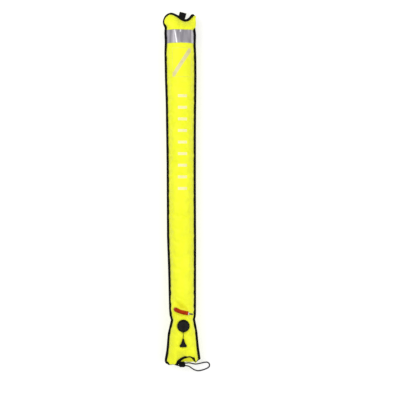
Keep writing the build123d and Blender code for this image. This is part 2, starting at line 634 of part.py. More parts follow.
with BuildPart() as lock_button:
    with BuildSketch(Plane.XY.offset(STRAND_Z + LOCK_THICK / 2 - BUTTON_SUNK)):
        with Locations((LOCK_X, LOCK_Y)):
            SlotOverall(BUTTON_LENGTH, BUTTON_WIDTH)
    extrude(amount=BUTTON_SUNK + BUTTON_RISE)
    fillet(lock_button.edges().group_by(Axis.Z)[-1], BUTTON_FILLET)
save(lock_button, "lock_button")

# Bungee: from its anchor through the lock, down to the floor, round and back
ANCHOR_END = ANCHOR_X + ANCHOR_LENGTH / 2
FAR, NEAR = ANCHOR_Y + STRANDS_APART / 2, ANCHOR_Y - STRANDS_APART / 2
UPPER, LOWER = LOCK_Y + STRAND_SPREAD / 2, LOCK_Y - STRAND_SPREAD / 2
FREE_LOOP = (
    # right, above the bottom corner, above the floor
    (30.5, 14.0, 43.4), (43.5, 4.2, 35.0), (57.0, 0.6, 23.0), (71.0, 2.2, 12.5), (86.0, 5.2, 5.4),
    (96.0, 7.0, 2.8), (104.0, 6.6, 2.6), (110.5, 1.9, 2.6), (112.7, -5.5, 2.6), (109.7, -12.8, 2.6),
    (103.2, -17.6, 2.6), (94.0, -21.4, 2.6), (82.0, -25.4, 3.0), (67.0, -28.2, 6.2),
    (52.0, -23.6, 15.0), (40.0, -14.6, 26.5), (29.5, -6.0, 38.5),
)
ANCHOR_OUT = ANCHOR_END + STRAIGHT_OUT
LOCK_IN, LOCK_OUT = LOCK_X - LOCK_WIDTH / 2 - LOCK_MARGIN, LOCK_X + LOCK_WIDTH / 2 + LOCK_MARGIN
going = [(ANCHOR_END, FAR), (ANCHOR_OUT, FAR), (LOCK_IN, UPPER), (LOCK_OUT, UPPER)]
coming = [(LOCK_OUT + LOCK_MARGIN, LOWER), (LOCK_IN, LOWER), (ANCHOR_OUT, NEAR), (ANCHOR_END, NEAR)]
cord_tube(
    "bungee",
    [(x, y, STRAND_Z) for x, y in going]
    + [(x, BOTTOM_Y + up, z) for x, up, z in FREE_LOOP]
    + [(x, y, STRAND_Z) for x, y in coming],
    BUNGEE_RADIUS,
)
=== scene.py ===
"""Diver's surface marker buoy, inflated and lying on its back, dressed on its CAD frame.

Lengths are metres. +Y runs to the top end, +X to the right as seen from the front and +Z out of the
front panel. Sizes typed in millimetres are turned into metres with MM.
"""

import json
import logging
from dataclasses import dataclass
from enum import Enum

import bpy
import numpy as np
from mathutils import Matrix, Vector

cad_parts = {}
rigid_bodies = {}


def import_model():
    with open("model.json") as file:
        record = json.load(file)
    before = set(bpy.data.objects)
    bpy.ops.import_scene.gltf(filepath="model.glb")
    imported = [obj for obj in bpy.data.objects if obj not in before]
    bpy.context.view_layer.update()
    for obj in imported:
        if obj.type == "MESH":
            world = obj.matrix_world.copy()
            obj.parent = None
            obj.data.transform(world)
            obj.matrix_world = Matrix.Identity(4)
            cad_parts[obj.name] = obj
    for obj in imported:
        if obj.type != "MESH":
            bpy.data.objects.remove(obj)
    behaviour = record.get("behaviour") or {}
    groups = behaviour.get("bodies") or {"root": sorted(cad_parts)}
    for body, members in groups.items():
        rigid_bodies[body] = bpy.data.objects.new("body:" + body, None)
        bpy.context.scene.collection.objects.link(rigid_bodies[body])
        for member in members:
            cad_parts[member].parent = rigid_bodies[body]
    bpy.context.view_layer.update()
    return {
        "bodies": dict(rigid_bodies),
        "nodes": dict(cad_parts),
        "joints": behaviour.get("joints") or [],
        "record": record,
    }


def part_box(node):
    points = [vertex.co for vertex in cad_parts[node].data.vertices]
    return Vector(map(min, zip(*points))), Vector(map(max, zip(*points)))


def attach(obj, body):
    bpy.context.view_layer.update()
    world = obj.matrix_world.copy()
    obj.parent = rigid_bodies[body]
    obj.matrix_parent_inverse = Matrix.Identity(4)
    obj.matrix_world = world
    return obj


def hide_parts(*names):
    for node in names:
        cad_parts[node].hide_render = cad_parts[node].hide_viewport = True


LOG = logging.getLogger("buoy")
MM = 0.001
BOTTOM = -706.0 * MM
TOP = 706.0 * MM
SEAM_Z = 50.0 * MM
BODY = "root"
# One period of Blender's wave texture is 2 pi / 20 of its scaled length.
WAVE = np.pi / 10.0
# Half the width over which the edge of a printed mark fades.
SOFT = 0.6 * MM

Tree = bpy.types.NodeTree
Socket = bpy.types.NodeSocket
Material = bpy.types.Material
Piece = bpy.types.Object


class Face(Enum):
    """The two sides of the tube, as the sign of their outward direction along Z."""

    FRONT = 1.0
    BACK = -1.0


class Slot(Enum):
    """Material slots of the part's record."""

    PANEL = "panel_fabric"
    BINDING = "binding_tape"
    BAND = "reflective_tape"
    WEBBING = "webbing"
    VALVE = "valve_plastic"
    PULL = "pull_plastic"
    PULL_LINE = "pull_line"
    COLLAR = "weld_collar"
    TUBE = "red_tube"
    NIPPLE = "nipple_steel"
    BUNGEE = "bungee_cover"
    LOCK = "lock_plastic"


def linear(colour: str) -> tuple[float, float, float, float]:
    """Turn an sRGB hex colour into linear RGBA.

    Args:
        colour: six hex digits after a hash.

    Returns:
        Linear red, green, blue and an alpha of 1.
    """
    srgb = np.array([int(colour[i : i + 2], 16) for i in (1, 3, 5)]) / 255.0
    rgb = np.where(srgb <= 0.04045, srgb / 12.92, ((srgb + 0.055) / 1.055) ** 2.4)
    return (*map(float, rgb), 1.0)


def smooth(share: np.ndarray) -> np.ndarray:
    """Ease a share from 0 to 1 by 3 s squared minus 2 s cubed, held level outside."""
    held = np.clip(share, 0.0, 1.0)
    return held * held * (3.0 - 2.0 * held)


def window(at: np.ndarray, start: float, rise: float, stop: float, fall: float) -> np.ndarray:
    """Share that eases in over the rise after a start, and out over the fall before a stop."""
    return smooth((at - start) / rise) * smooth((stop - at) / fall)


def wave(run: np.ndarray, length: float, phase: np.ndarray | float = 0.0) -> np.ndarray:
    """Sine of a run, one full wave to each length, ahead by a phase."""
    return np.sin(run * 2 * np.pi / length + phase)


def unit(vectors: np.ndarray) -> np.ndarray:
    """Scale vectors on the last axis to length one."""
    return vectors / np.maximum(np.linalg.norm(vectors, axis=-1, keepdims=True), 1e-12)


def rounded_path(corners: np.ndarray, radii: np.ndarray, steps: int = 12) -> np.ndarray:
    """Round the corners of a closed polygon.

    A corner P is cut back along both its edges by radius / tan(half its angle), to S and E, and the
    quadratic blend (1-s)^2 S + 2 s (1-s) P + s^2 E runs between the cuts.

    Args:
        corners: the polygon's corners, one row each.
        radii: rounding radius of each corner.
        steps: points on each blend.

    Returns:
        Points along the closed path.
    """
    back = unit(np.roll(corners, 1, axis=0) - corners)
    onward = unit(np.roll(corners, -1, axis=0) - corners)
    half = 0.5 * np.arccos(np.clip((back * onward).sum(axis=1), -1.0, 1.0))
    cut = (radii / np.tan(half))[:, None]
    s = np.linspace(0.0, 1.0, steps)[None, :, None]
    start, end = (corners + back * cut)[:, None], (corners + onward * cut)[:, None]
    blend = (1 - s) ** 2 * start + 2 * s * (1 - s) * corners[:, None] + s**2 * end
    return blend.reshape(-1, corners.shape[1])


def run_along(path: np.ndarray) -> np.ndarray:
    """Length of a path up to each of its points."""
    return np.concatenate([[0.0], np.cumsum(np.linalg.norm(np.diff(path, axis=0), axis=1))])


def along(path: np.ndarray, shares: np.ndarray) -> np.ndarray:
    """Read points of an open path at shares of its length."""
    run = run_along(path)
    return np.stack([np.interp(shares * run[-1], run, column) for column in path.T], axis=-1)


def mesh_piece(name: str, points: np.ndarray, faces: list, uv: np.ndarray | None = None) -> Piece:
    """Put points and faces into a smooth-shaded object at the origin.

    Args:
        name: the piece's name.
        points: vertices, one row each.
        faces: vertex numbers of each face.
        uv: flat-pattern place of each vertex in metres, if the finish follows the surface.

    Returns:
        The new object, linked to the scene.
    """
    mesh = bpy.data.meshes.new(name)
    mesh.from_pydata(points.reshape(-1, 3).tolist(), [], faces)
    mesh.polygons.foreach_set("use_smooth", np.ones(len(mesh.polygons), dtype=bool))
    if uv is not None:
        loops = np.empty(len(mesh.loops), dtype=np.int32)
        mesh.loops.foreach_get("vertex_index", loops)
        layer = mesh.uv_layers.new(name="flat")
        layer.data.foreach_set("uv", uv.reshape(-1, 2)[loops].astype(np.float32).ravel())
    mesh.update()
    piece = bpy.data.objects.new(name, mesh)
    bpy.context.scene.collection.objects.link(piece)
    return piece


def grid_faces(rows: int, columns: int, round_rows: bool = False, round_columns: bool = False,
               flip: bool = False) -> list:
    """Number the quads of a grid of points, row after row.

    Args:
        rows: rows of points.
        columns: points in each row.
        round_rows: whether the last row joins the first.
        round_columns: whether the last column joins the first.
        flip: whether the faces look the other way.

    Returns:
        Four vertex numbers for each quad.
    """
    row, column = np.meshgrid(
        np.arange(rows - (not round_rows)), np.arange(columns - (not round_columns)), indexing="ij"
    )
    up, right = (row + 1) % rows, (column + 1) % columns
    quads = np.stack([row * columns + column, row * columns + right,
                      up * columns + right, up * columns + column], axis=-1).reshape(-1, 4)
    return (quads[:, ::-1] if flip else quads).tolist()


def swept(name: str, centres: np.ndarray, across: np.ndarray, up: np.ndarray, profile: np.ndarray,
          closed_path: bool = False) -> Piece:
    """Carry a closed profile along a path.

    The point of station i and profile point j is centre_i + a_j across_i + b_j up_i. An open path gets
    a flat cap at each end.

    Args:
        name: the piece's name.
        centres: stations of the path.
        across: direction of the profile's first axis at each station.
        up: direction of its second axis at each station.
        profile: rows of (a, b), anticlockwise as seen against the path's direction.
        closed_path: whether the last station joins the first.

    Returns:
        The new object, with a flat map of length along the path and round the profile.
    """
    points = (centres[:, None] + across[:, None] * profile[None, :, :1]
              + up[:, None] * profile[None, :, 1:])
    rows, columns = points.shape[:2]
    faces = grid_faces(rows, columns, closed_path, True, flip=True)
    if not closed_path:
        faces += [list(range(columns)), list(range((rows - 1) * columns, rows * columns))[::-1]]
    uv = np.stack(np.meshgrid(run_along(profile), run_along(centres)), axis=-1)
    return mesh_piece(name, points, faces, uv)


def stadium(width: float, thick: float, steps: int = 7, flats: int = 9) -> np.ndarray:
    """Outline of a strip with half-round edges: two half circles of the strip's thickness, joined.

    Args:
        width: the strip's whole width.
        thick: its thickness.
        steps: points on each half circle.
        flats: points on each straight side, with its two ends.

    Returns:
        Rows of (across, up), anticlockwise.
    """
    turn = np.linspace(-np.pi / 2, np.pi / 2, steps)
    radius = thick / 2
    right = np.column_stack([width / 2 - radius + radius * np.cos(turn), radius * np.sin(turn)])
    left = -right
    share = np.linspace(0.0, 1.0, flats)[1:-1, None]
    upper = right[-1] + (left[0] - right[-1]) * share
    lower = left[-1] + (right[0] - left[-1]) * share
    return np.concatenate([right, upper, left, lower])


def place(piece: Piece, material: Material, slot: Slot, *nodes: str) -> Piece:
    """Dress a new piece and hang it on the part.

    Args:
        piece: the new object.
        material: its finish.
        slot: the record's slot for that finish; not used.
        nodes: CAD nodes that it stands for.

    Returns:
        The same object.
    """
    piece.data.materials.append(material)
    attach(piece, BODY)
    if nodes:
        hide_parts(*nodes)
    LOG.info("piece %s in %s", piece.name, material.name)
    return piece


def add_node(tree: Tree, kind: str, inputs: dict | None = None, **settings) -> bpy.types.Node:
    """Add one shader node, set its options, and fill or link its inputs.

    Args:
        tree: the material's node tree.
        kind: the node's type, after "ShaderNode".
        inputs: a number, a hex colour or an output socket for each input, by name or number.
        settings: the node's options.

    Returns:
        The new node.
    """
    made = tree.nodes.new("ShaderNode" + kind)
    for key, value in settings.items():
        setattr(made, key, value)
    for key, value in (inputs or {}).items():
        if isinstance(value, Socket):
            tree.links.new(value, made.inputs[key])
        else:
            made.inputs[key].default_value = linear(value) if isinstance(value, str) else value
    return made


@dataclass(frozen=True)
class Finish:
    """A real material: its two tones, how it reflects, and the pattern on its surface."""

    name: str
    colour: str
    shade: str
    roughness: float = 0.5
    metallic: float = 0.0
    specular: float = 0.5
    grain: float = 0.6 * MM
    relief: float = 0.05 * MM

    def pattern(self, tree: Tree) -> tuple[Socket, Socket]:
        """Colour and height over the surface: moulded or cast grain, and mottling 12 grains wide.

        Args:
            tree: the material's node tree.

        Returns:
            The colour output and the height output.
        """
        spot = add_node(tree, "TexCoord").outputs["Object"]
        fine = add_node(tree, "TexNoise", {"Vector": spot, "Scale": 1.0 / self.grain, "Detail": 3.0})
        broad = add_node(tree, "TexNoise", {"Vector": spot, "Scale": 0.08 / self.grain, "Detail": 2.0})
        mottle = add_node(tree, "MapRange", {"Value": broad.outputs["Fac"], "From Min": 0.35,
                                             "From Max": 0.7})
        colour = self.over(tree, self.colour, mottle.outputs["Result"], self.shade)
        return colour, fine.outputs["Fac"]

    def over(self, tree: Tree, under: Socket | str, mask: Socket, top: Socket | str,
             cover: float = 1.0) -> Socket:
        """Lay one colour over another: under + mask * cover * (top - under).

        Args:
            tree: the material's node tree.
            under: the lower colour, an output or a hex value.
            mask: where the upper colour lies, from 0 to 1.
            top: the upper colour, an output or a hex value.
            cover: how much of the lower colour it hides.

        Returns:
            The colour of both.
        """
        if cover < 1.0:
            mask = add_node(tree, "Math", {0: mask, 1: cover}, operation="MULTIPLY").outputs["Value"]
        return add_node(tree, "Mix", {0: mask, 6: under, 7: top}, data_type="RGBA").outputs[2]

    def weave(self, tree: Tree, rib: float, thread: float) -> Socket:
        """Height of a plain weave on the flat map: a sine along its length times one across it.

        Args:
            tree: the material's node tree.
            rib: length of one wave along.
            thread: length of one wave across.

        Returns:
            The height output.
        """
        flat = add_node(tree, "UVMap", uv_map="flat").outputs["UV"]
        ribs, threads = (
            add_node(tree, "TexWave", {"Vector": flat, "Scale": WAVE / size}, bands_direction=axis)
            for axis, size in (("Y", rib), ("X", thread))
        )
        both = {0: ribs.outputs["Fac"], 1: threads.outputs["Fac"]}
        return add_node(tree, "Math", both, operation="MULTIPLY").outputs["Value"]

    def bar(self, tree: Tree, spot: Socket, centre: tuple[float, float], turn: float,
            size: tuple[float, float], soft: float = SOFT) -> Socket:
        """Mask of a turned rectangle seen from the front: how far a place is inside both its half sizes.

        Args:
            tree: the material's node tree.
            spot: Object coordinates.
            centre: the rectangle's middle.
            turn: angle of its length from +X, in radians.
            size: its length and width.
            soft: half the width of its blurred edge.

        Returns:
            1 inside and 0 outside.
        """
        local = add_node(tree, "Mapping", {"Vector": spot, "Location": (*centre, 0.0),
                                           "Rotation": (0.0, 0.0, turn)}, vector_type="TEXTURE")
        split = add_node(tree, "SeparateXYZ", {"Vector": local.outputs["Vector"]})
        sides = []
        for axis, length in zip("XY", size):
            away = add_node(tree, "Math", {0: split.outputs[axis]}, operation="ABSOLUTE")
            inside = add_node(tree, "MapRange", {"Value": away.outputs["Value"],
                                                 "From Min": length / 2 + soft,
                                                 "From Max": length / 2 - soft})
            sides.append(inside.outputs["Result"])
        return add_node(tree, "Math", {0: sides[0], 1: sides[1]}, operation="MULTIPLY").outputs["Value"]

    def settle(self, shader: bpy.types.Node) -> None:
        """Set what only this kind of finish has on its shader."""

    def build(self) -> Material:
        """Make the procedural material.

        Returns:
            The material, named for what it is.
        """
        material = bpy.data.materials.new(self.name)
        material.use_nodes = True
        tree = material.node_tree
        shader = tree.nodes["Principled BSDF"]
        colour, height = self.pattern(tree)
        bump = add_node(tree, "Bump", {"Height": height, "Distance": self.relief, "Strength": 1.0})
        tree.links.new(colour, shader.inputs["Base Color"])
        tree.links.new(bump.outputs["Normal"], shader.inputs["Normal"])
        shader.inputs["Roughness"].default_value = self.roughness
        shader.inputs["Metallic"].default_value = self.metallic
        shader.inputs["Specular IOR Level"].default_value = self.specular
        self.settle(shader)
        return material


@dataclass(frozen=True)
class Woven(Finish):
    """Plain-woven tape or webbing: ribs across the flat map's length, threads along it."""

    rib: float = 1.2 * MM
    thread: float = 0.8 * MM

    def pattern(self, tree: Tree) -> tuple[Socket, Socket]:
        """Ribs and threads crossed, with painted shade in the hollows."""
        weave = self.weave(tree, self.rib, self.thread)
        # the weave's hollows take the darker tone: painted shade
        return self.over(tree, self.shade, weave, self.colour), weave


@dataclass(frozen=True)
class FlagPrint:
    """Print on the front panel: a flag with one diagonal stripe, and plain bars below it."""

    centre: tuple[float, float] = (1.0 * MM, 501.0 * MM)
    size: tuple[float, float] = (78.0 * MM, 118.0 * MM)
    line: float = 3.0 * MM
    stripe: float = 15.0 * MM
    stripe_length: float = 160.0 * MM
    slant: float = 0.995
    column: tuple[float, float] = (4.0 * MM, 188.6 * MM)
    column_length: float = 410.0 * MM
    bar: tuple[float, float] = (36.0 * MM, 11.0 * MM)
    pitch: float = 46.0 * MM
    ink: str = "#DED4AA"
    ink_dark: str = "#C6B88A"
    bar_ink: str = "#F2EAC8"
    bar_dark: str = "#DED4A0"
    frame_ink: str = "#DDD86A"
    # how much of the cloth each ink hides, and the ink's blotches in a metre
    frame_cover: float = 0.5
    stripe_cover: float = 0.92
    bar_cover: float = 0.85
    blotches: float = 45.0


@dataclass(frozen=True)
class CoatedNylon(Finish):
    """Fluorescent woven nylon with a polyurethane coat: even, vivid, with a soft sheen.

    The cloth emits a faint light of its own colour: painted light that brightens it and lifts its shade,
    though it is no lamp.
    """

    # Real threads are about 0.25 mm apart; they are drawn coarser so that they show.
    thread: float = 0.9 * MM
    # patches of uneven dye in a metre
    patches: float = 14.0
    # emission of the cloth's own colour: painted light that lifts its shade
    glow: float = 0.1
    sheen: float = 0.15
    weld: float = 7.0 * MM
    weld_colour: str = "#F2F57A"
    weld_cover: float = 0.5
    flag: FlagPrint | None = None

    def pattern(self, tree: Tree) -> tuple[Socket, Socket]:
        """Fine weave, broad uneven dye, a pressed weld by the seam, and the print."""
        spot = add_node(tree, "TexCoord").outputs["Object"]
        cloud = add_node(tree, "TexNoise", {"Vector": spot, "Scale": self.patches, "Detail": 3.0})
        uneven = add_node(tree, "MapRange", {"Value": cloud.outputs["Fac"], "From Min": 0.35,
                                             "From Max": 0.65})
        colour = self.over(tree, self.colour, uneven.outputs["Result"], self.shade)
        edge = add_node(tree, "Attribute", attribute_name="edge")
        pressed = add_node(tree, "MapRange", {"Value": edge.outputs["Fac"], "From Min": self.weld,
                                              "From Max": self.weld * 0.8}, interpolation_type="SMOOTHSTEP")
        colour = self.over(tree, colour, pressed.outputs["Result"], self.weld_colour, self.weld_cover)
        if self.flag:
            colour = self.print_on(tree, spot, colour, self.flag)
        return colour, self.weave(tree, self.thread, self.thread)

    def print_on(self, tree: Tree, spot: Socket, colour: Socket, flag: FlagPrint) -> Socket:
        """Print the flag's frame and stripe and the column of plain bars, in pale reflective ink.

        The frame is one rectangle less a smaller one, the stripe is a turned one within it, and the bars
        repeat along the column by the distance from the nearest whole pitch.

        Args:
            tree: the material's node tree.
            spot: Object coordinates.
            colour: the cloth's colour.
            flag: sizes and inks of the print.

        Returns:
            The printed cloth's colour.
        """
        noise = add_node(tree, "TexNoise", {"Vector": spot, "Scale": flag.blotches, "Detail": 2.0})
        blotch = noise.outputs["Fac"]
        outer = self.bar(tree, spot, flag.centre, 0.0, flag.size)
        inner = self.bar(tree, spot, flag.centre, 0.0, tuple(side - 2 * flag.line for side in flag.size))
        frame = add_node(tree, "Math", {0: outer, 1: inner}, operation="SUBTRACT")
        colour = self.over(tree, colour, frame.outputs["Value"], flag.frame_ink, flag.frame_cover)
        stripe = self.bar(tree, spot, flag.centre, flag.slant, (flag.stripe_length, flag.stripe))
        within = add_node(tree, "Math", {0: stripe, 1: inner}, operation="MULTIPLY")
        ink = self.over(tree, flag.ink_dark, blotch, flag.ink)
        colour = self.over(tree, colour, within.outputs["Value"], ink, flag.stripe_cover)
        column = self.bar(tree, spot, flag.column, 0.0, (flag.bar[0], flag.column_length))
        split = add_node(tree, "SeparateXYZ", {"Vector": spot})
        wrapped = add_node(tree, "Math", {0: split.outputs["Y"], 1: flag.pitch / 2, 2: -flag.pitch / 2},
                           operation="WRAP")
        away = add_node(tree, "Math", {0: wrapped.outputs["Value"]}, operation="ABSOLUTE")
        rung = add_node(tree, "MapRange", {"Value": away.outputs["Value"],
                                           "From Min": flag.bar[1] / 2 + SOFT,
                                           "From Max": flag.bar[1] / 2 - SOFT})
        bars = add_node(tree, "Math", {0: column, 1: rung.outputs["Result"]}, operation="MULTIPLY")
        pale = self.over(tree, flag.bar_dark, blotch, flag.bar_ink)
        return self.over(tree, colour, bars.outputs["Value"], pale, flag.bar_cover)

    def settle(self, shader: bpy.types.Node) -> None:
        """Sheen of the coat, and the glow: painted light of the cloth's own colour."""
        shader.inputs["Sheen Weight"].default_value = self.sheen
        shader.inputs["Emission Color"].default_value = linear(self.colour)
        shader.inputs["Emission Strength"].default_value = self.glow


@dataclass(frozen=True)
class CreaseHighlight:
    """A painted highlight along a fold in the reflective tape: its middle, angle from +X, length and width,
    and strength.
    """

    centre: tuple[float, float]
    turn: float
    size: tuple[float, float]
    strength: float


@dataclass(frozen=True)
class GlassBead(Finish):
    """Silver reflective tape: glass beads in a grey binder, with painted highlights along the creases."""

    crease_highlight_colour: str = "#F2F1F2"
    highlight_soft: float = 1.6 * MM
    # streaks of painted fold light and shade in a metre across the tube, along it and through it
    fold_shading: tuple[float, float, float] = (75.0, 9.0, 40.0)
    crease_highlights: tuple[CreaseHighlight, ...] = (
        CreaseHighlight((-23.0 * MM, 607.0 * MM), 1.74, (64.0 * MM, 3.0 * MM), 0.85),
        CreaseHighlight((-4.0 * MM, 628.0 * MM), 1.4, (11.0 * MM, 4.0 * MM), 0.85),
        CreaseHighlight((43.0 * MM, 606.0 * MM), 1.6, (66.0 * MM, 8.0 * MM), 0.35),
    )

    def pattern(self, tree: Tree) -> tuple[Socket, Socket]:
        """Long noise along the tube for painted light and shade of folds, painted highlights along the
        creases over it, and cells for beads.
        """
        spot = add_node(tree, "TexCoord").outputs["Object"]
        # painted light and shade of soft folds, in long streaks along the tube
        long_way = add_node(tree, "Mapping", {"Vector": spot, "Scale": self.fold_shading})
        soft = add_node(tree, "TexNoise", {"Vector": long_way.outputs["Vector"], "Scale": 1.0, "Detail": 2.0})
        tone = add_node(tree, "MapRange", {"Value": soft.outputs["Fac"], "From Min": 0.36, "From Max": 0.66})
        colour = self.over(tree, self.shade, tone.outputs["Result"], self.colour)
        # painted highlights along the creases
        for highlight in self.crease_highlights:
            highlight_mask = self.bar(tree, spot, highlight.centre, highlight.turn, highlight.size, self.highlight_soft)
            colour = self.over(tree, colour, highlight_mask, self.crease_highlight_colour, highlight.strength)
        beads = add_node(tree, "TexVoronoi", {"Vector": spot, "Scale": 1.0 / self.grain})
        return colour, beads.outputs["Distance"]


@dataclass(frozen=True)
class TurnedSteel(Finish):
    """Lathe-turned steel: a polished flange by the tube painted bright as a highlight, and a stem painted
    dark as a dark reflection, with fine tool marks.
    """

    mouth: tuple[float, float] = (27.36 * MM, -495.83 * MM)
    turn: float = -12.0
    flange: float = 3.2 * MM
    step: float = 0.2 * MM
    # Real tool marks are finer; they are drawn coarser so that they show.
    pitch: float = 0.8 * MM

    def pattern(self, tree: Tree) -> tuple[Socket, Socket]:
        """Waves along the turning axis, with the painted highlight colour up to the flange's end and the
        painted dark reflection beyond.
        """
        spot = add_node(tree, "TexCoord").outputs["Object"]
        local = add_node(tree, "Mapping", {"Vector": spot, "Location": (*self.mouth, 0.0),
                                           "Rotation": (0.0, 0.0, np.radians(self.turn))},
                         vector_type="TEXTURE").outputs["Vector"]
        marks = add_node(tree, "TexWave", {"Vector": local, "Scale": WAVE / self.pitch})
        split = add_node(tree, "SeparateXYZ", {"Vector": local})
        # painted highlight on the flange, painted dark reflection on the stem
        dark_reflection_mask = add_node(tree, "MapRange", {"Value": split.outputs["X"], "From Min": self.flange,
                                             "From Max": self.flange + self.step})
        return self.over(tree, self.colour, dark_reflection_mask.outputs["Result"], self.shade), marks.outputs["Fac"]


@dataclass(frozen=True)
class Braided(Finish):
    """Braided cover of a cord: two sets of strands wound against each other."""

    strand: float = 1.6 * MM
    wind: float = 0.8
    tilt: float = 0.3

    def pattern(self, tree: Tree) -> tuple[Socket, Socket]:
        """Crossed diagonal waves on Object coordinates, greater of the two on top, with painted shade in the
        hollows between the strands.
        """
        spot = add_node(tree, "TexCoord").outputs["Object"]
        sets = []
        for turn in (self.wind, -self.wind):
            turned = add_node(tree, "Mapping", {"Vector": spot, "Rotation": (self.tilt, turn, turn)})
            strands = add_node(tree, "TexWave", {"Vector": turned.outputs["Vector"],
                                                 "Scale": WAVE / self.strand})
            sets.append(strands.outputs["Fac"])
        top = add_node(tree, "Math", {0: sets[0], 1: sets[1]}, operation="MAXIMUM").outputs["Value"]
        # the hollows between the strands take the darker tone: painted shade
        return self.over(tree, self.shade, top, self.colour), top


@dataclass(frozen=True)
class Bend:
    """A place where the seam leaves its plane: it is shifted by (1 - (d / reach)^2)^2 of the shift."""

    x: float
    y: float
    reach: float
    shift: tuple[float, float, float]

    def share(self, flat: np.ndarray) -> np.ndarray:
        """Share of the shift at places (x, y)."""
        away = np.hypot(flat[..., 0] - self.x, flat[..., 1] - self.y) / self.reach
        return np.clip(1.0 - away**2, 0.0, None) ** 2


# Corners of the seam: x, y and rounding radius in millimetres, anticlockwise from the bottom left.
SEAM_CORNERS = np.array([
    (-71.5, -706.0, 23.0), (-22.0, -706.0, 14.0), (4.0, -683.5, 70.0), (36.0, -671.5, 16.0),
    (56.5, -701.0, 5.0), (76.5, -684.0, 12.0), (69.6, -636.0, 40.0), (63.2, -572.0, 30.0),
    (54.2, -523.0, 6.0), (57.6, -507.0, 12.0), (58.0, -470.0, 20.0), (58.5, -230.0, 60.0),
    (57.5, 10.0, 60.0), (57.8, 240.0, 60.0), (59.8, 440.0, 40.0), (59.2, 520.0, 20.0),
    (56.9, 577.0, 14.0), (58.2, 612.0, 14.0), (55.5, 640.0, 12.0), (56.5, 692.0, 9.5),
    (43.5, 702.5, 9.5), (17.5, 670.5, 22.0), (-11.0, 692.0, 30.0), (-42.0, 706.0, 28.0),
    (-66.0, 693.0, 34.0), (-78.0, 665.0, 34.0), (-68.0, 642.0, 8.0), (-69.4, 620.0, 14.0),
    (-67.6, 585.0, 14.0), (-68.9, 545.0, 16.0), (-67.2, 448.0, 30.0), (-63.8, 340.0, 40.0),
    (-60.3, 100.0, 60.0), (-58.8, -190.0, 50.0), (-54.0, -330.0, 50.0), (-50.6, -480.0, 20.0),
    (-48.4, -507.0, 12.0), (-43.0, -526.0, 8.0), (-55.5, -580.0, 30.0), (-61.0, -645.0, 40.0),
]) * MM
# Corners of the panels' grid, looked up on the seam: bottom left, bottom right, top right, top left.
GRID_CORNERS = np.array([(-71.0, -706.0), (75.5, -686.0), (60.0, 700.0), (-76.0, 702.0)]) * MM


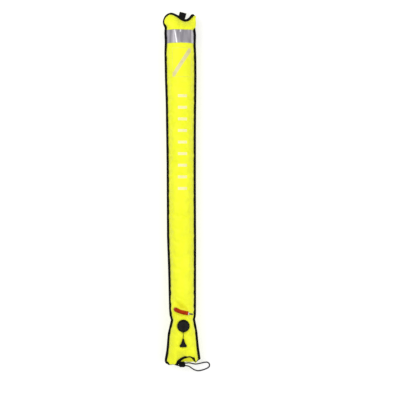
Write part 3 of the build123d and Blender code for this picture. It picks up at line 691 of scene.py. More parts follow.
@dataclass
class Seam:
    """Welded edge that joins the panels, with the tape folded over it."""

    stations: int = 1500
    tape_width: float = 10.6 * MM
    tape_half: float = 1.25 * MM
    tape_wall: float = 0.7 * MM
    join: float = 60.0 * MM
    pucker: float = 0.7 * MM
    # where the tape is wider, by the first number of the shift
    spread: Bend = Bend(-15.0 * MM, -700.0 * MM, 22.0 * MM, (6.0 * MM, 0.0, 0.0))
    stitch_pitch: float = 3.6 * MM
    stitch_in: float = 6.4 * MM
    # half a stitch's length as a share of the pitch, half its width, its height and how deep it sits
    stitch_fill: float = 0.39
    stitch_half: float = 0.32 * MM
    stitch_rise: float = 0.28 * MM
    stitch_sink: float = 0.02 * MM
    bends: tuple[Bend, ...] = (
        Bend(58.0 * MM, 680.0 * MM, 64.0 * MM, (-1.0 * MM, 0.0, -16.0 * MM)),
        Bend(-62.0 * MM, 686.0 * MM, 60.0 * MM, (0.0, 0.0, 6.0 * MM)),
        Bend(-37.0 * MM, -706.0 * MM, 34.0 * MM, (0.0, 3.5 * MM, 0.0)),
        Bend(32.0 * MM, -674.0 * MM, 48.0 * MM, (0.0, 0.0, 10.0 * MM)),
        Bend(64.0 * MM, -694.0 * MM, 20.0 * MM, (0.0, 4.0 * MM, -9.0 * MM)),
    )

    def __post_init__(self) -> None:
        """Work out the outline, its inward directions and the corners of the panels' grid."""
        path = rounded_path(SEAM_CORNERS[:, :2], SEAM_CORNERS[:, 2])
        ring = along(np.vstack([path, path[:1]]), np.arange(self.stations) / self.stations)
        self.ring = np.roll(ring, -self.nearest(ring, GRID_CORNERS[0]), axis=0)
        self.tangent = unit(np.roll(self.ring, -1, axis=0) - np.roll(self.ring, 1, axis=0))
        self.inward = np.column_stack([-self.tangent[:, 1], self.tangent[:, 0]])
        self.corners = [self.nearest(self.ring, corner) for corner in GRID_CORNERS[1:]]

    @staticmethod
    def nearest(ring: np.ndarray, place_at: np.ndarray) -> int:
        """Number of the station that is nearest to a place."""
        return int(np.argmin(np.linalg.norm(ring - place_at, axis=1)))

    def shift(self, flat: np.ndarray) -> np.ndarray:
        """Move of places on the flat pattern off the seam's plane: the sum of the bends.

        Args:
            flat: places (x, y), of any grid shape.

        Returns:
            Shifts (x, y, z) of the same grid shape.
        """
        shares = np.stack([bend.share(flat) for bend in self.bends], axis=-1)
        return shares @ np.array([bend.shift for bend in self.bends])

    def ripple(self, flat: np.ndarray) -> np.ndarray:
        """Small puckers that the stitching draws into the edge: two sine waves along the seam."""
        run = flat[..., 1] + 0.6 * flat[..., 0]
        return self.pucker * (0.6 * wave(run, 41.0 * MM) + 0.4 * wave(run, 23.3 * MM, 1.3))

    def in_space(self, flat: np.ndarray) -> np.ndarray:
        """Places of the flat pattern in space: at the seam's height, bent and puckered.

        Args:
            flat: places (x, y), of any grid shape.

        Returns:
            Points (x, y, z) of the same grid shape.
        """
        level = np.concatenate([flat, np.full_like(flat[..., :1], SEAM_Z)], axis=-1) + self.shift(flat)
        level[..., 2] += self.ripple(flat)
        return level

    def tape(self, material: Material) -> None:
        """Fold a length of tape over each of the four parts of the seam, as a thin U carried along it.

        Args:
            material: the tape's finish.
        """
        nose = np.linspace(-np.pi / 2, np.pi / 2, 9)
        r, w, t = self.tape_half, self.tape_width, self.tape_wall
        outer = np.column_stack([r - r * np.cos(nose), r * np.sin(nose)])
        inner = np.column_stack([r - (r - t) * np.cos(nose), (r - t) * np.sin(nose)])[::-1]
        leg = np.linspace(1.0, 0.2, 4)[:, None]
        low = np.column_stack([r + (w - r) * leg, np.full_like(leg, -r)])
        high = np.column_stack([r + (w - r) * leg[::-1], np.full_like(leg, r)])
        lining = [np.array([(w, r - t)]), inner, np.array([(w, t - r)])]
        profile = np.concatenate([low, outer, high, *lining])
        y, x = self.ring[:, 1], self.ring[:, 0]
        low_end, high_end = y < BOTTOM + self.join, y > TOP - self.join
        between = ~low_end & ~high_end
        parts = {"binding_bottom": low_end, "binding_top": high_end,
                 "binding_left": between & (x < 0), "binding_right": between & (x > 0)}
        for name, mask in parts.items():
            member = np.flatnonzero(mask)
            gap = np.flatnonzero(np.diff(member) > 1)
            if gap.size:
                member = np.roll(member, -(gap[0] + 1))
            member = np.append(member, (member[-1] + 1) % self.stations)
            side = np.column_stack([self.inward[member], np.zeros(len(member))])
            up = np.tile([0.0, 0.0, 1.0], (len(member), 1))
            wider = self.spread.share(self.ring[member]) * self.spread.shift[0]
            centres = self.in_space(self.ring[member]) - side * wider[:, None]
            piece = swept(name + "_tape", centres, side * (1.0 + wider[:, None] / w), up, profile)
            place(piece, material, Slot.BINDING, name)

    def stitches(self, material: Material, sides: int = 6) -> None:
        """Lockstitches on both faces of the tape: one low bead per stitch, end to end.

        Args:
            material: the thread's finish.
            sides: corners of each bead's rim.
        """
        turn = np.linspace(0.0, 2 * np.pi, sides, endpoint=False)
        rim = np.column_stack([np.cos(turn) * self.stitch_fill * self.stitch_pitch,
                               np.sin(turn) * self.stitch_half, np.zeros(sides)])
        bead = np.vstack([rim, [(0.0, 0.0, self.stitch_rise)]])
        corner = np.arange(sides)
        fan = np.column_stack([corner, (corner + 1) % sides, np.full(sides, sides)])
        count = int(len(self.ring) * np.linalg.norm(self.ring[1] - self.ring[0]) / self.stitch_pitch)
        at = np.linspace(0, self.stations, count, endpoint=False).astype(int)
        for name, face in (("stitching_front", Face.FRONT), ("stitching_back", Face.BACK)):
            base = self.in_space(self.ring[at])
            base[:, :2] += self.inward[at] * self.stitch_in
            base[:, 2] += face.value * (self.tape_half - self.stitch_sink)
            run = np.column_stack([self.tangent[at], np.zeros(count)])
            side = np.column_stack([self.inward[at], np.zeros(count)]) * face.value
            up = np.tile([0.0, 0.0, face.value], (count, 1))
            points = (base[:, None] + bead[None, :, :1] * run[:, None] + bead[None, :, 1:2] * side[:, None]
                      + bead[None, :, 2:] * up[:, None])
            faces = (fan[None] + len(bead) * np.arange(count)[:, None, None]).reshape(-1, 3)
            place(mesh_piece(name, points, faces.tolist()), material, Slot.BINDING)


@dataclass(frozen=True)
class Press:
    """A round place where something pulls or presses the fabric to a level, eased out over a skirt."""

    x: float
    y: float
    radius: float
    skirt: float
    level: float
    slope: float = 0.0


@dataclass(frozen=True)
class Air:
    """Air let into the cloth: a short simulation under pressure, without weight.

    The cloth is cut a little larger than its shape, so it wrinkles where the seam holds it.
    """

    pressure: float = 4.0
    spare: float = 0.02
    slack: float = 6.0 * MM
    frames: int = 20
    quality: int = 6
    weight: float = 0.2
    damping: float = 4.0
    stretch: float = 12.0
    shear: float = 4.0
    bending: float = 0.08

    def fill(self, points: np.ndarray, faces: list, held: np.ndarray) -> np.ndarray:
        """Run the simulation on a grid of cloth.

        Args:
            points: the grid before the air.
            faces: vertex numbers of its faces.
            held: which points stay where they are.

        Returns:
            The grid after it, no point further than the slack from where it started.
        """
        piece = mesh_piece("air", points, faces)
        group = piece.vertex_groups.new(name="held")
        group.add(np.flatnonzero(held).tolist(), 1.0, "REPLACE")
        blown = piece.modifiers.new("air", "CLOTH")
        cloth = blown.settings
        cloth.quality, cloth.mass, cloth.air_damping = self.quality, self.weight, self.damping
        cloth.tension_stiffness = cloth.compression_stiffness = self.stretch
        cloth.shear_stiffness, cloth.bending_stiffness = self.shear, self.bending
        cloth.use_pressure, cloth.uniform_pressure_force = True, self.pressure
        cloth.shrink_min = -self.spare
        cloth.vertex_group_mass = group.name
        cloth.effector_weights.gravity = 0.0
        blown.point_cache.frame_start, blown.point_cache.frame_end = 1, self.frames
        scene = bpy.context.scene
        for frame in range(1, self.frames + 1):
            scene.frame_set(frame)
        shape = piece.evaluated_get(bpy.context.evaluated_depsgraph_get()).data
        moved = np.empty(points.size, dtype=np.float32)
        shape.vertices.foreach_get("co", moved)
        scene.frame_set(1)
        bpy.data.objects.remove(piece)
        step = moved.reshape(points.shape) - points
        length = np.linalg.norm(step, axis=-1, keepdims=True)
        return points + step * np.minimum(1.0, self.slack / np.maximum(length, 1e-9))


@dataclass
class Panel:
    """One inflated half of the tube: a grid patch whose edges lie in the seam."""

    seam: Seam
    face: Face
    columns: int = 56
    rows: int = 380
    # how closely the rows crowd towards the ends, from 0 to 1
    crowd: float = 0.6
    tuck: float = 9.8 * MM
    depth: float = 50.0 * MM
    lift: float = 0.4 * MM
    thick: float = 0.35 * MM
    bottom_round: float = 125.0 * MM
    top_round: float = 105.0 * MM
    bottom_fade: float = 100.0 * MM
    top_fade: float = 56.0 * MM
    pucker_fade: float = 8.0 * MM
    # reach of the two kinds of overhang from the edge
    deep: float = 66.0 * MM
    shallow: float = 24.0 * MM
    gather: float = 1.6 * MM
    slack: float = 0.35 * MM
    rim: float = 26.0 * MM
    floor: float = 0.2 * MM
    band_low: float = 579.0 * MM
    band_high: float = 632.4 * MM
    band_grid: tuple[int, int] = (22, 60)
    band_inset: float = 0.015
    band_off: float = 0.45 * MM
    band_thick: float = 0.3 * MM
    # what the air leaves alone beside the band, beside each seat and near the floor
    band_margin: float = 6.0 * MM
    seat_margin: float = 2.0 * MM
    floor_margin: float = 1.0 * MM
    air: Air = Air()
    presses: tuple[Press, ...] = ()

    def __post_init__(self) -> None:
        """Read the four edges of the patch off the seam, drawn in under the tape."""
        ring = self.seam.ring + self.seam.inward * self.tuck
        right, top, left = self.seam.corners
        self.bottom_edge = ring[: right + 1]
        self.right_edge = ring[right : top + 1]
        self.top_edge = ring[top : left + 1][::-1]
        self.left_edge = np.vstack([ring[left:], ring[:1]])[::-1]

    def pattern(self, u: np.ndarray, t: np.ndarray) -> tuple[np.ndarray, np.ndarray, np.ndarray]:
        """Flat pattern of the patch.

        A row is a straight blend between the side edges by (1 - cos(pi u)) / 2. Near an end the row
        also takes on the end edge's own wave, which eases out over the fade length.

        Args:
            u: shares across, from the left edge to the right.
            t: shares along, from the bottom to the top.

        Returns:
            Places (x, y), and each place's distance from the bottom and top edges.
        """
        across = (1.0 - np.cos(np.pi * u)) / 2.0
        ends = [self.bottom_edge[0], self.bottom_edge[-1], self.top_edge[0], self.top_edge[-1]]
        low, high = (ends[0][1] + ends[1][1]) / 2, (ends[2][1] + ends[3][1]) / 2
        level = low + (high - low) * t
        near_low = 1.0 - smooth((level - low) / self.bottom_fade)
        near_high = 1.0 - smooth((high - level) / self.top_fade)
        sides = []
        for edge, start, stop in ((self.left_edge, ends[0], ends[2]), (self.right_edge, ends[1], ends[3])):
            y = level + (start[1] - low) * near_low + (stop[1] - high) * near_high
            sides.append(np.column_stack([np.interp(y, edge[:, 1], edge[:, 0]), y]))
        row = sides[0][:, None] + (sides[1] - sides[0])[:, None] * across[None, :, None]
        bottom, top = along(self.bottom_edge, across), along(self.top_edge, across)
        bottom_wave = bottom - (ends[0] + (ends[1] - ends[0]) * across[:, None])
        top_wave = top - (ends[2] + (ends[3] - ends[2]) * across[:, None])
        row = row + near_low[:, None, None] * bottom_wave[None] + near_high[:, None, None] * top_wave[None]
        from_low, from_high = row[..., 1] - bottom[None, :, 1], top[None, :, 1] - row[..., 1]
        return row, np.clip(from_low, 0, None), np.clip(from_high, 0, None)

    def surface(self, u: np.ndarray, t: np.ndarray) -> np.ndarray:
        """Inflated patch.

        The rise off the seam's plane is depth * sin(pi u) times a quarter ellipse in the distance from
        either end: sqrt(1 - (1 - d / round)^2). Gathers run in from the ends, and puckers from the sides.

        Args:
            u: shares across.
            t: shares along.

        Returns:
            Points (x, y, z), a row for each t.
        """
        flat, from_low, from_high = self.pattern(u, t)
        ends = [np.sqrt(1.0 - (1.0 - np.clip(d / reach, 0, 1)) ** 2)
                for d, reach in ((from_low, self.bottom_round), (from_high, self.top_round))]
        rise = self.depth * np.sin(np.pi * u)[None] * ends[0] * ends[1]
        points = self.seam.in_space(flat)
        near_side = np.minimum(u, 1 - u)[None] * np.pi * self.depth
        points[..., 2] -= self.seam.ripple(flat) * (1.0 - np.exp(-near_side / self.pucker_fade))
        points[..., 2] += self.face.value * (self.lift + rise)
        points += self.overhang(flat, from_low, from_high, u)
        points += self.normals(points) * self.wrinkles(flat, from_low, from_high, near_side)[..., None]
        return self.grounded(self.pressed(points, u))

    def overhang(self, flat: np.ndarray, low: np.ndarray, high: np.ndarray, u: np.ndarray) -> np.ndarray:
        """Bulge of the cloth past the seam, which hides the tape in places.

        Each bulge is 27/4 q (1 - q)^2 in the share q of its reach from the edge, which peaks at a third of
        the reach, and it is eased along the edge.

        Args:
            flat: the flat pattern.
            low: distance from the bottom edge.
            high: distance from the top edge.
            u: shares across.

        Returns:
            Shifts (x, y, z).
        """
        x, y = flat[..., 0] / MM, flat[..., 1] / MM
        shifts = np.zeros((*x.shape, 3))
        crest = flat[..., 1] - low + self.deep / 3
        from_left, from_right = (share[None] * np.pi * self.depth for share in (u, 1 - u))
        if self.face is Face.FRONT:
            # the broad left foot, which hangs to 9 mm above the bottom
            hang = crest - (BOTTOM + 9 * MM)
            shifts[..., 1] -= hang * self.bulge(low, self.deep) * window(x, -58, 14, -12, 18)
            # the small right foot
            shifts[..., 1] -= 16 * MM * self.bulge(low, self.deep) * window(x, 52, 8, 76, 8)
            # the edge over the arch
            shifts[..., 1] -= 10 * MM * self.bulge(low, self.shallow) * window(x, 6, 16, 54, 10)
            # the right side below the top corner, and the corner itself
            ends = smooth((y - 630) / 18) * smooth((high / MM + 6) / 14)
            shifts[..., 0] += 15.5 * MM * self.bulge(from_right, self.deep) * ends
            shifts[..., 1] += 8.5 * MM * self.bulge(high, self.shallow) * smooth((x - 36) / 6)
            # the left ear, over its top and its outer side
            shifts[..., 1] += 4.6 * MM * self.bulge(high, self.shallow) * smooth((-16 - x) / 16)
            shifts[..., 0] -= 3.4 * MM * self.bulge(from_left, self.shallow) * smooth((y - 646) / 16)
        else:
            # the lower layer that shows under the arch
            hang = np.clip(crest - (BOTTOM + 14 * MM), 0, None)
            shifts[..., 1] -= hang * self.bulge(low, self.deep) * window(x, -16, 14, 66, 10)
        return shifts

    @staticmethod
    def bulge(distance: np.ndarray, reach: float) -> np.ndarray:
        """Share of a bulge at a distance from the edge: 0 at the edge, 1 at a third of the reach, then 0."""
        q = np.clip(distance / reach, 0.0, 1.0)
        return 6.75 * q * (1.0 - q) ** 2

    def wrinkles(self, flat: np.ndarray, low: np.ndarray, high: np.ndarray, side: np.ndarray) -> np.ndarray:
        """Height of the folds: waves across near the ends and along near the sides, dying away inwards.

        Args:
            flat: the flat pattern.
            low: distance from the bottom edge.
            high: distance from the top edge.
            side: distance from the nearer side.

        Returns:
            Heights along the surface's outward direction.
        """
        x, y, end = flat[..., 0], flat[..., 1], np.minimum(low, high)
        near_end = np.exp(-end / (30 * MM)) * (1 - np.exp(-end / (7 * MM)))
        gathers = wave(x, 27.0 * MM, 0.7) + 0.6 * wave(x, 17.3 * MM, 20 * y)
        near_side = np.exp(-side / (16 * MM)) * (1 - np.exp(-side / (4 * MM)))
        puckers = wave(y, 41.0 * MM) + 0.7 * wave(y, 26.7 * MM, 2.0)
        slack = self.slack * wave(y, 190.0 * MM, 9 * x) * wave(y, 71.0 * MM, -14 * x)
        return self.gather * (near_end * gathers + 0.5 * near_side * puckers) + slack

    def normals(self, points: np.ndarray) -> np.ndarray:
        """Outward directions of a grid, from the cross product of its row and column steps."""
        rows, columns = np.gradient(points, axis=0), np.gradient(points, axis=1)
        return unit(np.cross(columns, rows)) * self.face.value

    def pressed(self, points: np.ndarray, u: np.ndarray) -> np.ndarray:
        """Bring the cloth to the level of what presses it, but leave it in the seam.

        Args:
            points: the grid before.
            u: shares across.

        Returns:
            The same grid, raised or lowered.
        """
        free = smooth(np.minimum(u, 1 - u) * np.pi * self.depth / self.rim)
        for press in self.presses:
            away = np.hypot(points[..., 0] - press.x, points[..., 1] - press.y)
            share = (1.0 - smooth((away - press.radius) / press.skirt)) * free
            level = press.level + press.slope * (points[..., 1] - press.y)
            points[..., 2] += (level - points[..., 2]) * share
        return points

    def grounded(self, points: np.ndarray) -> np.ndarray:
        """Keep the cloth just off the floor."""
        points[..., 2] = np.maximum(points[..., 2], self.floor)
        return points

    def held(self, points: np.ndarray) -> np.ndarray:
        """Which points the air can't move: at the edges, under the band, at the seats and on the floor.

        Args:
            points: the grid before the air.

        Returns:
            True for each point that is held.
        """
        x, y, z = np.moveaxis(points, -1, 0)
        fixed = (y > self.band_low - self.band_margin) & (y < self.band_high + self.band_margin)
        fixed[[0, 1, -2, -1]] = True
        fixed[:, [0, 1, -2, -1]] = True
        fixed |= z < self.floor_margin
        for press in self.presses:
            fixed |= np.hypot(x - press.x, y - press.y) < press.radius + self.seat_margin
        return fixed

    def flat_map(self, points: np.ndarray) -> np.ndarray:
        """Distance over the cloth across and along, as a flat map in metres."""
        steps = [np.linalg.norm(np.diff(points, axis=axis, prepend=points.take([0], axis)), axis=-1)
                 for axis in (1, 0)]
        return np.stack([np.cumsum(steps[0], axis=1), np.cumsum(steps[1], axis=0)], axis=-1)

    def sewn(self, name: str, points: np.ndarray, faces: list, thick: float) -> Piece:
        """Make a patch of the panel into a sheet with a wall inside it.

        Args:
            name: the piece's name.
            points: the patch's grid.
            faces: vertex numbers of its faces.
            thick: the wall's thickness.

        Returns:
            The new object, with its flat map.
        """
        piece = mesh_piece(name, points, faces, self.flat_map(points))
        wall = piece.modifiers.new("wall", "SOLIDIFY")
        wall.thickness, wall.offset = thick, -1.0
        return piece

    def build(self, material: Material) -> None:
        """Make the panel's mesh, with the distance from the seam as an attribute.

        Args:
            material: the cloth's finish.
        """
        name = self.face.name.lower() + "_panel"
        u, v = np.linspace(0.0, 1.0, self.columns), np.linspace(0.0, 1.0, self.rows)
        points = self.surface(u, v - self.crowd * np.sin(2 * np.pi * v) / (2 * np.pi))
        faces = grid_faces(self.rows, self.columns, flip=self.face is Face.BACK)
        points = self.grounded(self.air.fill(points, faces, self.held(points)))
        piece = self.sewn(name + "_fabric", points, faces, self.thick)
        across, lengthwise = np.moveaxis(self.flat_map(points), -1, 0)
        edge = np.minimum.reduce([across, across[:, -1:] - across, lengthwise, lengthwise[-1:] - lengthwise])
        layer = piece.data.attributes.new("edge", "FLOAT", "POINT")
        layer.data.foreach_set("value", edge.astype(np.float32).ravel())
        place(piece, material, Slot.PANEL, name)

    def band(self, material: Material) -> None:
        """Sew the reflective band on: the patch between its two heights, lifted off the cloth.

        Args:
            material: the band's finish.
        """
        name = "reflective_band_" + self.face.name.lower()
        rows, columns = self.band_grid
        low, high = (np.mean([edge[0, 1], edge[-1, 1]]) for edge in (self.bottom_edge, self.top_edge))
        t = (np.linspace(self.band_low, self.band_high, rows) - low) / (high - low)
        points = self.surface(np.linspace(self.band_inset, 1.0 - self.band_inset, columns), t)
        points += self.normals(points) * self.band_off
        faces = grid_faces(rows, columns, flip=self.face is Face.BACK)
        piece = self.sewn(name + "_tape", points, faces, self.band_thick)
        place(piece, material, Slot.BAND, name)


@dataclass
class TopLoop:
    """Webbing loop sewn into the top seam."""

    x: float = -0.2 * MM
    y: float = 680.82 * MM
    lean: float = 16.0
    width: float = 27.6 * MM
    thick: float = 1.6 * MM
    leg_out: float = 2.1 * MM
    open_out: float = 4.8 * MM
    # where the legs start to part above the seam, and over what height they do
    part_at: float = 1.0 * MM
    part_over: float = 9.0 * MM
    height: float = 23.2 * MM
    lap: float = 5.0 * MM

    def build(self, seam: Seam, material: Material) -> None:
        """Carry the webbing's section up one leg, over the top and down the other.

        The legs ease from the tape's face out to the open width, and the top is half a circle between
        them.

        Args:
            seam: the seam that it is sewn into.
            material: the webbing's finish.
        """
        turn = np.radians(self.lean)
        rise = np.array([np.sin(turn), np.cos(turn), 0.0])
        across = np.array([np.cos(turn), -np.sin(turn), 0.0])
        straight = self.height - self.open_out
        up = np.linspace(-self.lap, straight, 16)
        ease = smooth((up - self.part_at) / self.part_over)
        out = self.leg_out + (self.open_out - self.leg_out) * ease
        angle = np.linspace(0.0, np.pi, 15)[1:-1]
        crown = np.column_stack([straight + self.open_out * np.sin(angle), self.open_out * np.cos(angle)])
        path = np.vstack([np.column_stack([up, out]), crown, np.column_stack([up, -out])[::-1]])
        foot = seam.in_space(np.array([[self.x, self.y]]))[0]
        centres = foot + path[:, :1] * rise + path[:, 1:] * np.array([0.0, 0.0, 1.0])
        forward = unit(np.gradient(centres, axis=0))
        side = np.tile(across, (len(path), 1))
        section = stadium(self.width, self.thick)
        piece = swept("top_loop_webbing", centres, side, np.cross(forward, side), section)
        place(piece, material, Slot.WEBBING, "top_loop")


@dataclass
class Bungee:
    """Elastic loop at the bottom end, with its sewn anchor and cord lock."""

    radius: float = 2.5 * MM
    length: float = 354.5 * MM
    # right, above the bottom corner, above the floor, in millimetres
    route: tuple[tuple[float, float, float], ...] = (
        (-39.5, 9.4, 45.8), (-31.0, 9.2, 45.8), (-13.3, 7.0, 45.8), (17.7, 7.0, 45.8), (30.5, 8.8, 47.0),
        (43.5, 4.2, 35.0), (57.0, 0.6, 23.0), (71.0, 2.2, 12.5), (86.0, 5.2, 5.4), (96.0, 7.0, 2.8),
        (104.0, 6.6, 2.6), (110.5, 1.9, 2.6), (112.7, -5.5, 2.6), (109.7, -12.8, 2.6), (103.2, -17.6, 2.6),
        (94.0, -21.4, 2.6), (82.0, -25.4, 3.0), (67.0, -28.2, 6.2), (52.0, -23.6, 15.0), (40.0, -14.6, 26.5),
        (29.5, -6.0, 38.5), (20.2, -3.0, 45.8), (-13.3, -3.0, 45.8), (-31.0, 3.7, 45.8), (-39.5, 3.9, 45.8),
    )
    # the anchor: how square its section is, its stations, and where, how wide and how deep it is nipped
    square: float = 0.45
    stations: int = 25
    nip_at: float = 0.55
    nip_width: float = 0.09
    nip_depth: float = 0.1

    def build(self, frame: dict, seam: Seam, cover: Material, webbing: Material) -> None:
        """Lay the elastic along its route, and sew its anchor to the seam.

        Args:
            frame: the loaded CAD frame; not used.
            seam: the seam that the anchor is sewn to.
            cover: the elastic's finish.
            webbing: the anchor's finish.
        """
        points = np.array(self.route) * MM + np.array([0.0, BOTTOM, 0.0])
        piece = cord_piece("bungee_elastic", points, self.radius)
        place(piece, cover, Slot.BUNGEE, "bungee")
        self.anchor(seam, webbing)

    def anchor(self, seam: Seam, material: Material) -> None:
        """Fold webbing under the two ends of the elastic.

        Its section is a squared oval, |y|^p and |z|^p of a circle with p the squareness, carried along X
        and nipped by two rows of stitching, each a bell curve.

        Args:
            seam: the seam that it is sewn to.
            material: the webbing's finish.
        """
        low, high = (np.array(corner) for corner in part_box("bungee_anchor"))
        centre, half = (low + high) / 2, (high - low) / 2
        centre += seam.shift(centre[:2])
        turn = np.linspace(0.0, 2 * np.pi, 40, endpoint=False)
        circle = np.column_stack([np.cos(turn), np.sin(turn)])
        profile = half[1:] * np.sign(circle) * np.abs(circle) ** self.square
        shares, none = np.linspace(-1.0, 1.0, self.stations), np.zeros(self.stations)
        rows = [np.exp(-((shares - at) / self.nip_width) ** 2) for at in (self.nip_at, -self.nip_at)]
        nip = 1.0 - self.nip_depth * (rows[0] + rows[1])
        centres = centre + np.column_stack([shares * half[0], none, none])
        across, up = np.column_stack([none, nip, none]), np.column_stack([none, none, nip])
        piece = swept("bungee_anchor_webbing", centres, across, up, profile)
        place(piece, material, Slot.WEBBING, "bungee_anchor")


def cord_piece(name: str, points: np.ndarray, radius: float) -> Piece:
    """Draw a cord as a smooth spline whose control points are its route.

    Args:
        name: the piece's name.
        points: the route's points.
        radius: half the cord's diameter.

    Returns:
        The curve object, linked to the scene.
    """
    curve = bpy.data.curves.new(name, "CURVE")
    curve.dimensions = "3D"
    spline = curve.splines.new("NURBS")
    spline.points.add(len(points) - 1)
    spline.points.foreach_set("co", np.column_stack([points, np.ones(len(points))]).ravel())
    spline.order_u = 3
    spline.use_endpoint_u = True
    spline.resolution_u = 8
    curve.bevel_depth = radius
    curve.bevel_resolution = 4
    curve.use_fill_caps = True
    piece = bpy.data.objects.new(name, curve)
    bpy.context.scene.collection.objects.link(piece)
    return piece


@dataclass
class ReliefValve:
    """Dump valve with its pull cord; its moulded pieces are the CAD's own."""

    cord_radius: float = 1.0 * MM
    cord_length: float = 62.2 * MM
    # from the stem's eye over the cap into the knob, in millimetres
    route: tuple[tuple[float, float, float], ...] = (
        (7.6, -546.0, 115.73), (7.6, -556.0, 115.53), (7.6, -565.5, 113.53), (7.6, -573.0, 106.33),
        (7.6, -578.0, 102.33), (7.6, -585.0, 100.53), (7.0, -590.72, 99.96), (7.0, -603.51, 97.64),
    )

    def build(self, frame: dict, ring: Material, cap: Material, rubber: Material, line: Material) -> None:
        """Dress the moulded pieces and lay the pull cord from the stem to the knob.

        Args:
            frame: the loaded CAD frame.
            ring: the base ring's finish.
            cap: finish of the cap and the poppet.
            rubber: the knob's finish.
            line: the cord's finish.
        """
        dress(frame, ring, "valve_base")
        dress(frame, cap, "valve_cap", "valve_poppet")
        dress(frame, rubber, "pull_knob")
        points = np.array(self.route) * MM
        piece = cord_piece("pull_line", points, self.cord_radius)
        place(piece, line, Slot.PULL_LINE, "pull_cord")


def dress(frame: dict, material: Material, *nodes: str) -> None:
    """Give CAD nodes a better material in place of their own.

    Args:
        frame: the loaded CAD frame.
        material: the new finish.
        nodes: names of the nodes.
    """
    for node in nodes:
        mesh = frame["nodes"][node].data
        mesh.materials.clear()
        mesh.materials.append(material)
        LOG.info("node %s in %s", node, material.name)


@dataclass(frozen=True)
class Lamp:
    """A square soft light that points at the part: its place, the length of its side, and its watts."""

    name: str
    spot: tuple[float, float, float]
    size: float
    power: float


@dataclass
class Studio:
    """Pale floor, soft light and the camera straight above."""

    middle: tuple[float, float] = (73.6 * MM, -46.0 * MM)
    distance: float = 6.5
    view_width: float = 1.6
    sensor: float = 36.0
    far: float = 50.0
    floor_half: float = 6.0
    paper: str = "#C8C8C8"
    white: str = "#FFFFFF"
    # light that the paper adds where it is seen, and the sky's strength on the object
    paper_lift: float = 0.52
    sky: float = 0.62
    lamps: tuple[Lamp, ...] = (
        Lamp("key", (-1.6, 0.9, 2.4), 2.2, 37.0),
        Lamp("fill", (1.9, -0.6, 2.2), 2.0, 27.0),
    )

    def floor(self) -> None:
        """Lay a floor that looks white and still takes the object's shadow."""
        corners = np.array([(-1.0, -1.0, 0.0), (1.0, -1.0, 0.0), (1.0, 1.0, 0.0), (-1.0, 1.0, 0.0)])
        piece = mesh_piece("floor", corners * self.floor_half, [[0, 1, 2, 3]])
        # Uncoated paper scatters all light, so it shows no gleam, only the shadow.
        material = bpy.data.materials.new("matt white paper")
        material.use_nodes = True
        tree = material.node_tree
        shader = tree.nodes["Principled BSDF"]
        shader.inputs["Base Color"].default_value = linear(self.paper)
        shader.inputs["Roughness"].default_value = 0.9
        shader.inputs["Specular IOR Level"].default_value = 0.0
        lift = add_node(tree, "Math", {0: self.seen(tree), 1: self.paper_lift}, operation="MULTIPLY")
        shader.inputs["Emission Color"].default_value = linear(self.white)
        tree.links.new(lift.outputs["Value"], shader.inputs["Emission Strength"])
        piece.data.materials.append(material)

    def seen(self, tree: Tree) -> Socket:
        """Tell rays that end in the picture from light on the object: the greatest of three ray kinds.

        Args:
            tree: node tree of the floor's material or the world.

        Returns:
            1 for a ray from the camera, straight, mirrored or through glass, and 0 for other light.
        """
        path = add_node(tree, "LightPath")
        seen = path.outputs["Is Camera Ray"]
        for kind in ("Is Glossy Ray", "Is Transmission Ray"):
            both = {0: seen, 1: path.outputs[kind]}
            seen = add_node(tree, "Math", both, operation="MAXIMUM").outputs["Value"]
        return seen

    def light(self) -> None:
        """Even sky light, a broad key from the upper left and a weaker one from the right."""
        world = bpy.data.worlds.new("studio")
        world.use_nodes = True
        bpy.context.scene.world = world
        tree = world.node_tree
        strength = add_node(tree, "MapRange", {"Value": self.seen(tree), "To Min": self.sky, "To Max": 1.0})
        back = tree.nodes["Background"]
        back.inputs["Color"].default_value = linear(self.white)
        tree.links.new(strength.outputs["Result"], back.inputs["Strength"])
        for lamp in self.lamps:
            glow = bpy.data.lights.new(lamp.name, "AREA")
            glow.size, glow.energy = lamp.size, lamp.power
            held = bpy.data.objects.new(lamp.name, glow)
            held.location = lamp.spot
            held.rotation_mode = "QUATERNION"
            held.rotation_quaternion = (-held.location).to_track_quat("-Z", "Y")
            bpy.context.scene.collection.objects.link(held)

    def camera(self) -> None:
        """Look straight down with +Y up; the lens gives the view's width at the seam."""
        lens = bpy.data.cameras.new("camera")
        lens.sensor_width = self.sensor
        lens.lens = self.sensor * self.distance / self.view_width
        lens.clip_end = self.far
        held = bpy.data.objects.new("camera", lens)
        held.location = (*self.middle, SEAM_Z + self.distance)
        bpy.context.scene.collection.objects.link(held)
        bpy.context.scene.camera = held

    def build(self) -> None:
        """Set the stage."""
        self.floor()
        self.light()
        self.camera()
        bpy.context.scene.view_settings.view_transform = "Standard"


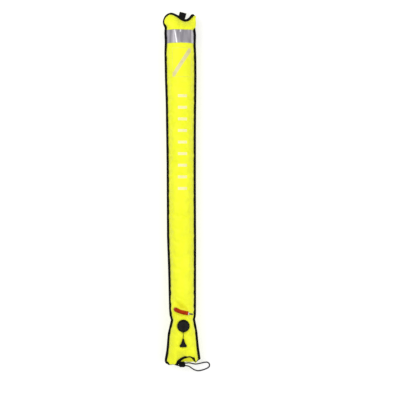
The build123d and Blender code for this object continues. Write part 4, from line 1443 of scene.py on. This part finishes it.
def main() -> None:
    """Build the buoy's pieces in order."""
    logging.basicConfig(level=logging.INFO, format="%(name)s %(message)s")
    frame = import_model()
    Studio().build()

    # Coated nylon: vivid and even, with a soft sheen and a glow of painted light in its own colour. The back
    # gets less light, so it has more of the painted glow.
    nylon = {"roughness": 0.42, "specular": 0.2, "relief": 0.04 * MM}
    yellow = CoatedNylon("coated fluorescent nylon", "#ECF026", "#E6EB1C", **nylon, glow=0.2)
    printed = CoatedNylon("coated fluorescent nylon printed", "#ECF026", "#E6EB1C", **nylon, flag=FlagPrint())
    # Woven polyester and nylon: flat black, lighter on the ribs, with painted shade between them.
    tape = Woven("black polyester binding", "#0A0A0C", "#040405", 0.8, specular=0.1, relief=0.12 * MM)
    webbing = Woven("black nylon webbing", "#0E0E10", "#050506", 0.75, specular=0.12, relief=0.25 * MM,
                    rib=1.6 * MM)
    # Bonded thread: a little glossier and greyer than the tape, so each stitch catches the light.
    thread = Finish("black bonded thread", "#232326", "#101012", 0.55, grain=0.4 * MM)
    # Glass beads: a silky grey, half metallic, with painted highlights along its creases.
    band = GlassBead("silver glass bead tape", "#B2AEB4", "#88848C", 0.38, metallic=0.35, grain=0.7 * MM)
    # Moulded acetal: dense satin black, and a greyer one for the vented cap.
    moulded = Finish("moulded black acetal", "#080809", "#050506", 0.5, specular=0.06, grain=0.5 * MM)
    vented = Finish("moulded charcoal acetal", "#141512", "#0C0D0B", 0.5, specular=0.13, grain=0.5 * MM)
    # Soft plastic: duller than the acetal, with a coarser skin.
    rubber = Finish("black soft plastic", "#100F11", "#09090A", 0.6, specular=0.12, grain=0.7 * MM)
    # Silicone: deep orange red with a broad, weak gleam.
    red = Finish("red silicone tube", "#BA3400", "#982600", 0.42, specular=0.09, grain=0.9 * MM,
                 relief=0.03 * MM)
    # Welded urethane: nearly the cloth's yellow, smoother and without its painted glow.
    collar = Finish("yellow weld flange", "#E2E634", "#D3DA28", 0.45, grain=0.8 * MM)
    # Turned stainless steel: a flange painted bright as a highlight, then a ringed stem painted dark as a
    # reflection.
    steel = TurnedSteel("turned stainless steel", "#F0ECE8", "#5E5C54", 0.26, metallic=1.0, relief=0.02 * MM)
    # Braided covers: matt black with a fine diagonal grain and painted shade between the strands, finer on
    # the thin line.
    braid = Braided("black braided elastic", "#1E1F22", "#08080A", 0.8, specular=0.12, relief=0.3 * MM)
    line = Braided("black braided line", "#1C1C1E", "#08080A", 0.8, specular=0.12, relief=0.15 * MM,
                   strand=0.8 * MM)

    seam = Seam()
    # The cloth meets the valve's ring, the inflator's collar and the sloping bed of the pull knob.
    presses = (
        Press(7.6 * MM, -546.0 * MM, 27.0 * MM, 26.0 * MM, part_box("valve_base")[0][2]),
        Press(-22.8 * MM, -481.0 * MM, 13.0 * MM, 32.0 * MM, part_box("inflator_collar")[0][2]),
        Press(7.0 * MM, -614.0 * MM, 18.0 * MM, 26.0 * MM, 91.8 * MM, slope=0.1817),
    )
    front = Panel(seam, Face.FRONT, presses=presses)
    back = Panel(seam, Face.BACK, depth=53.0 * MM)
    front.build(printed.build())
    back.build(yellow.build())
    silver = band.build()
    for panel in (front, back):
        panel.band(silver)
    seam.tape(tape.build())
    seam.stitches(thread.build())
    strap = webbing.build()
    TopLoop().build(seam, strap)
    black = moulded.build()
    ReliefValve().build(frame, black, vented.build(), rubber.build(), line.build())
    dress(frame, red.build(), "inflator_tube")
    dress(frame, collar.build(), "inflator_collar")
    dress(frame, steel.build(), "inflator_nipple")
    dress(frame, black, "lock_body", "lock_button")
    Bungee().build(frame, seam, braid.build(), strap)


if __name__ == "__main__":
    main()
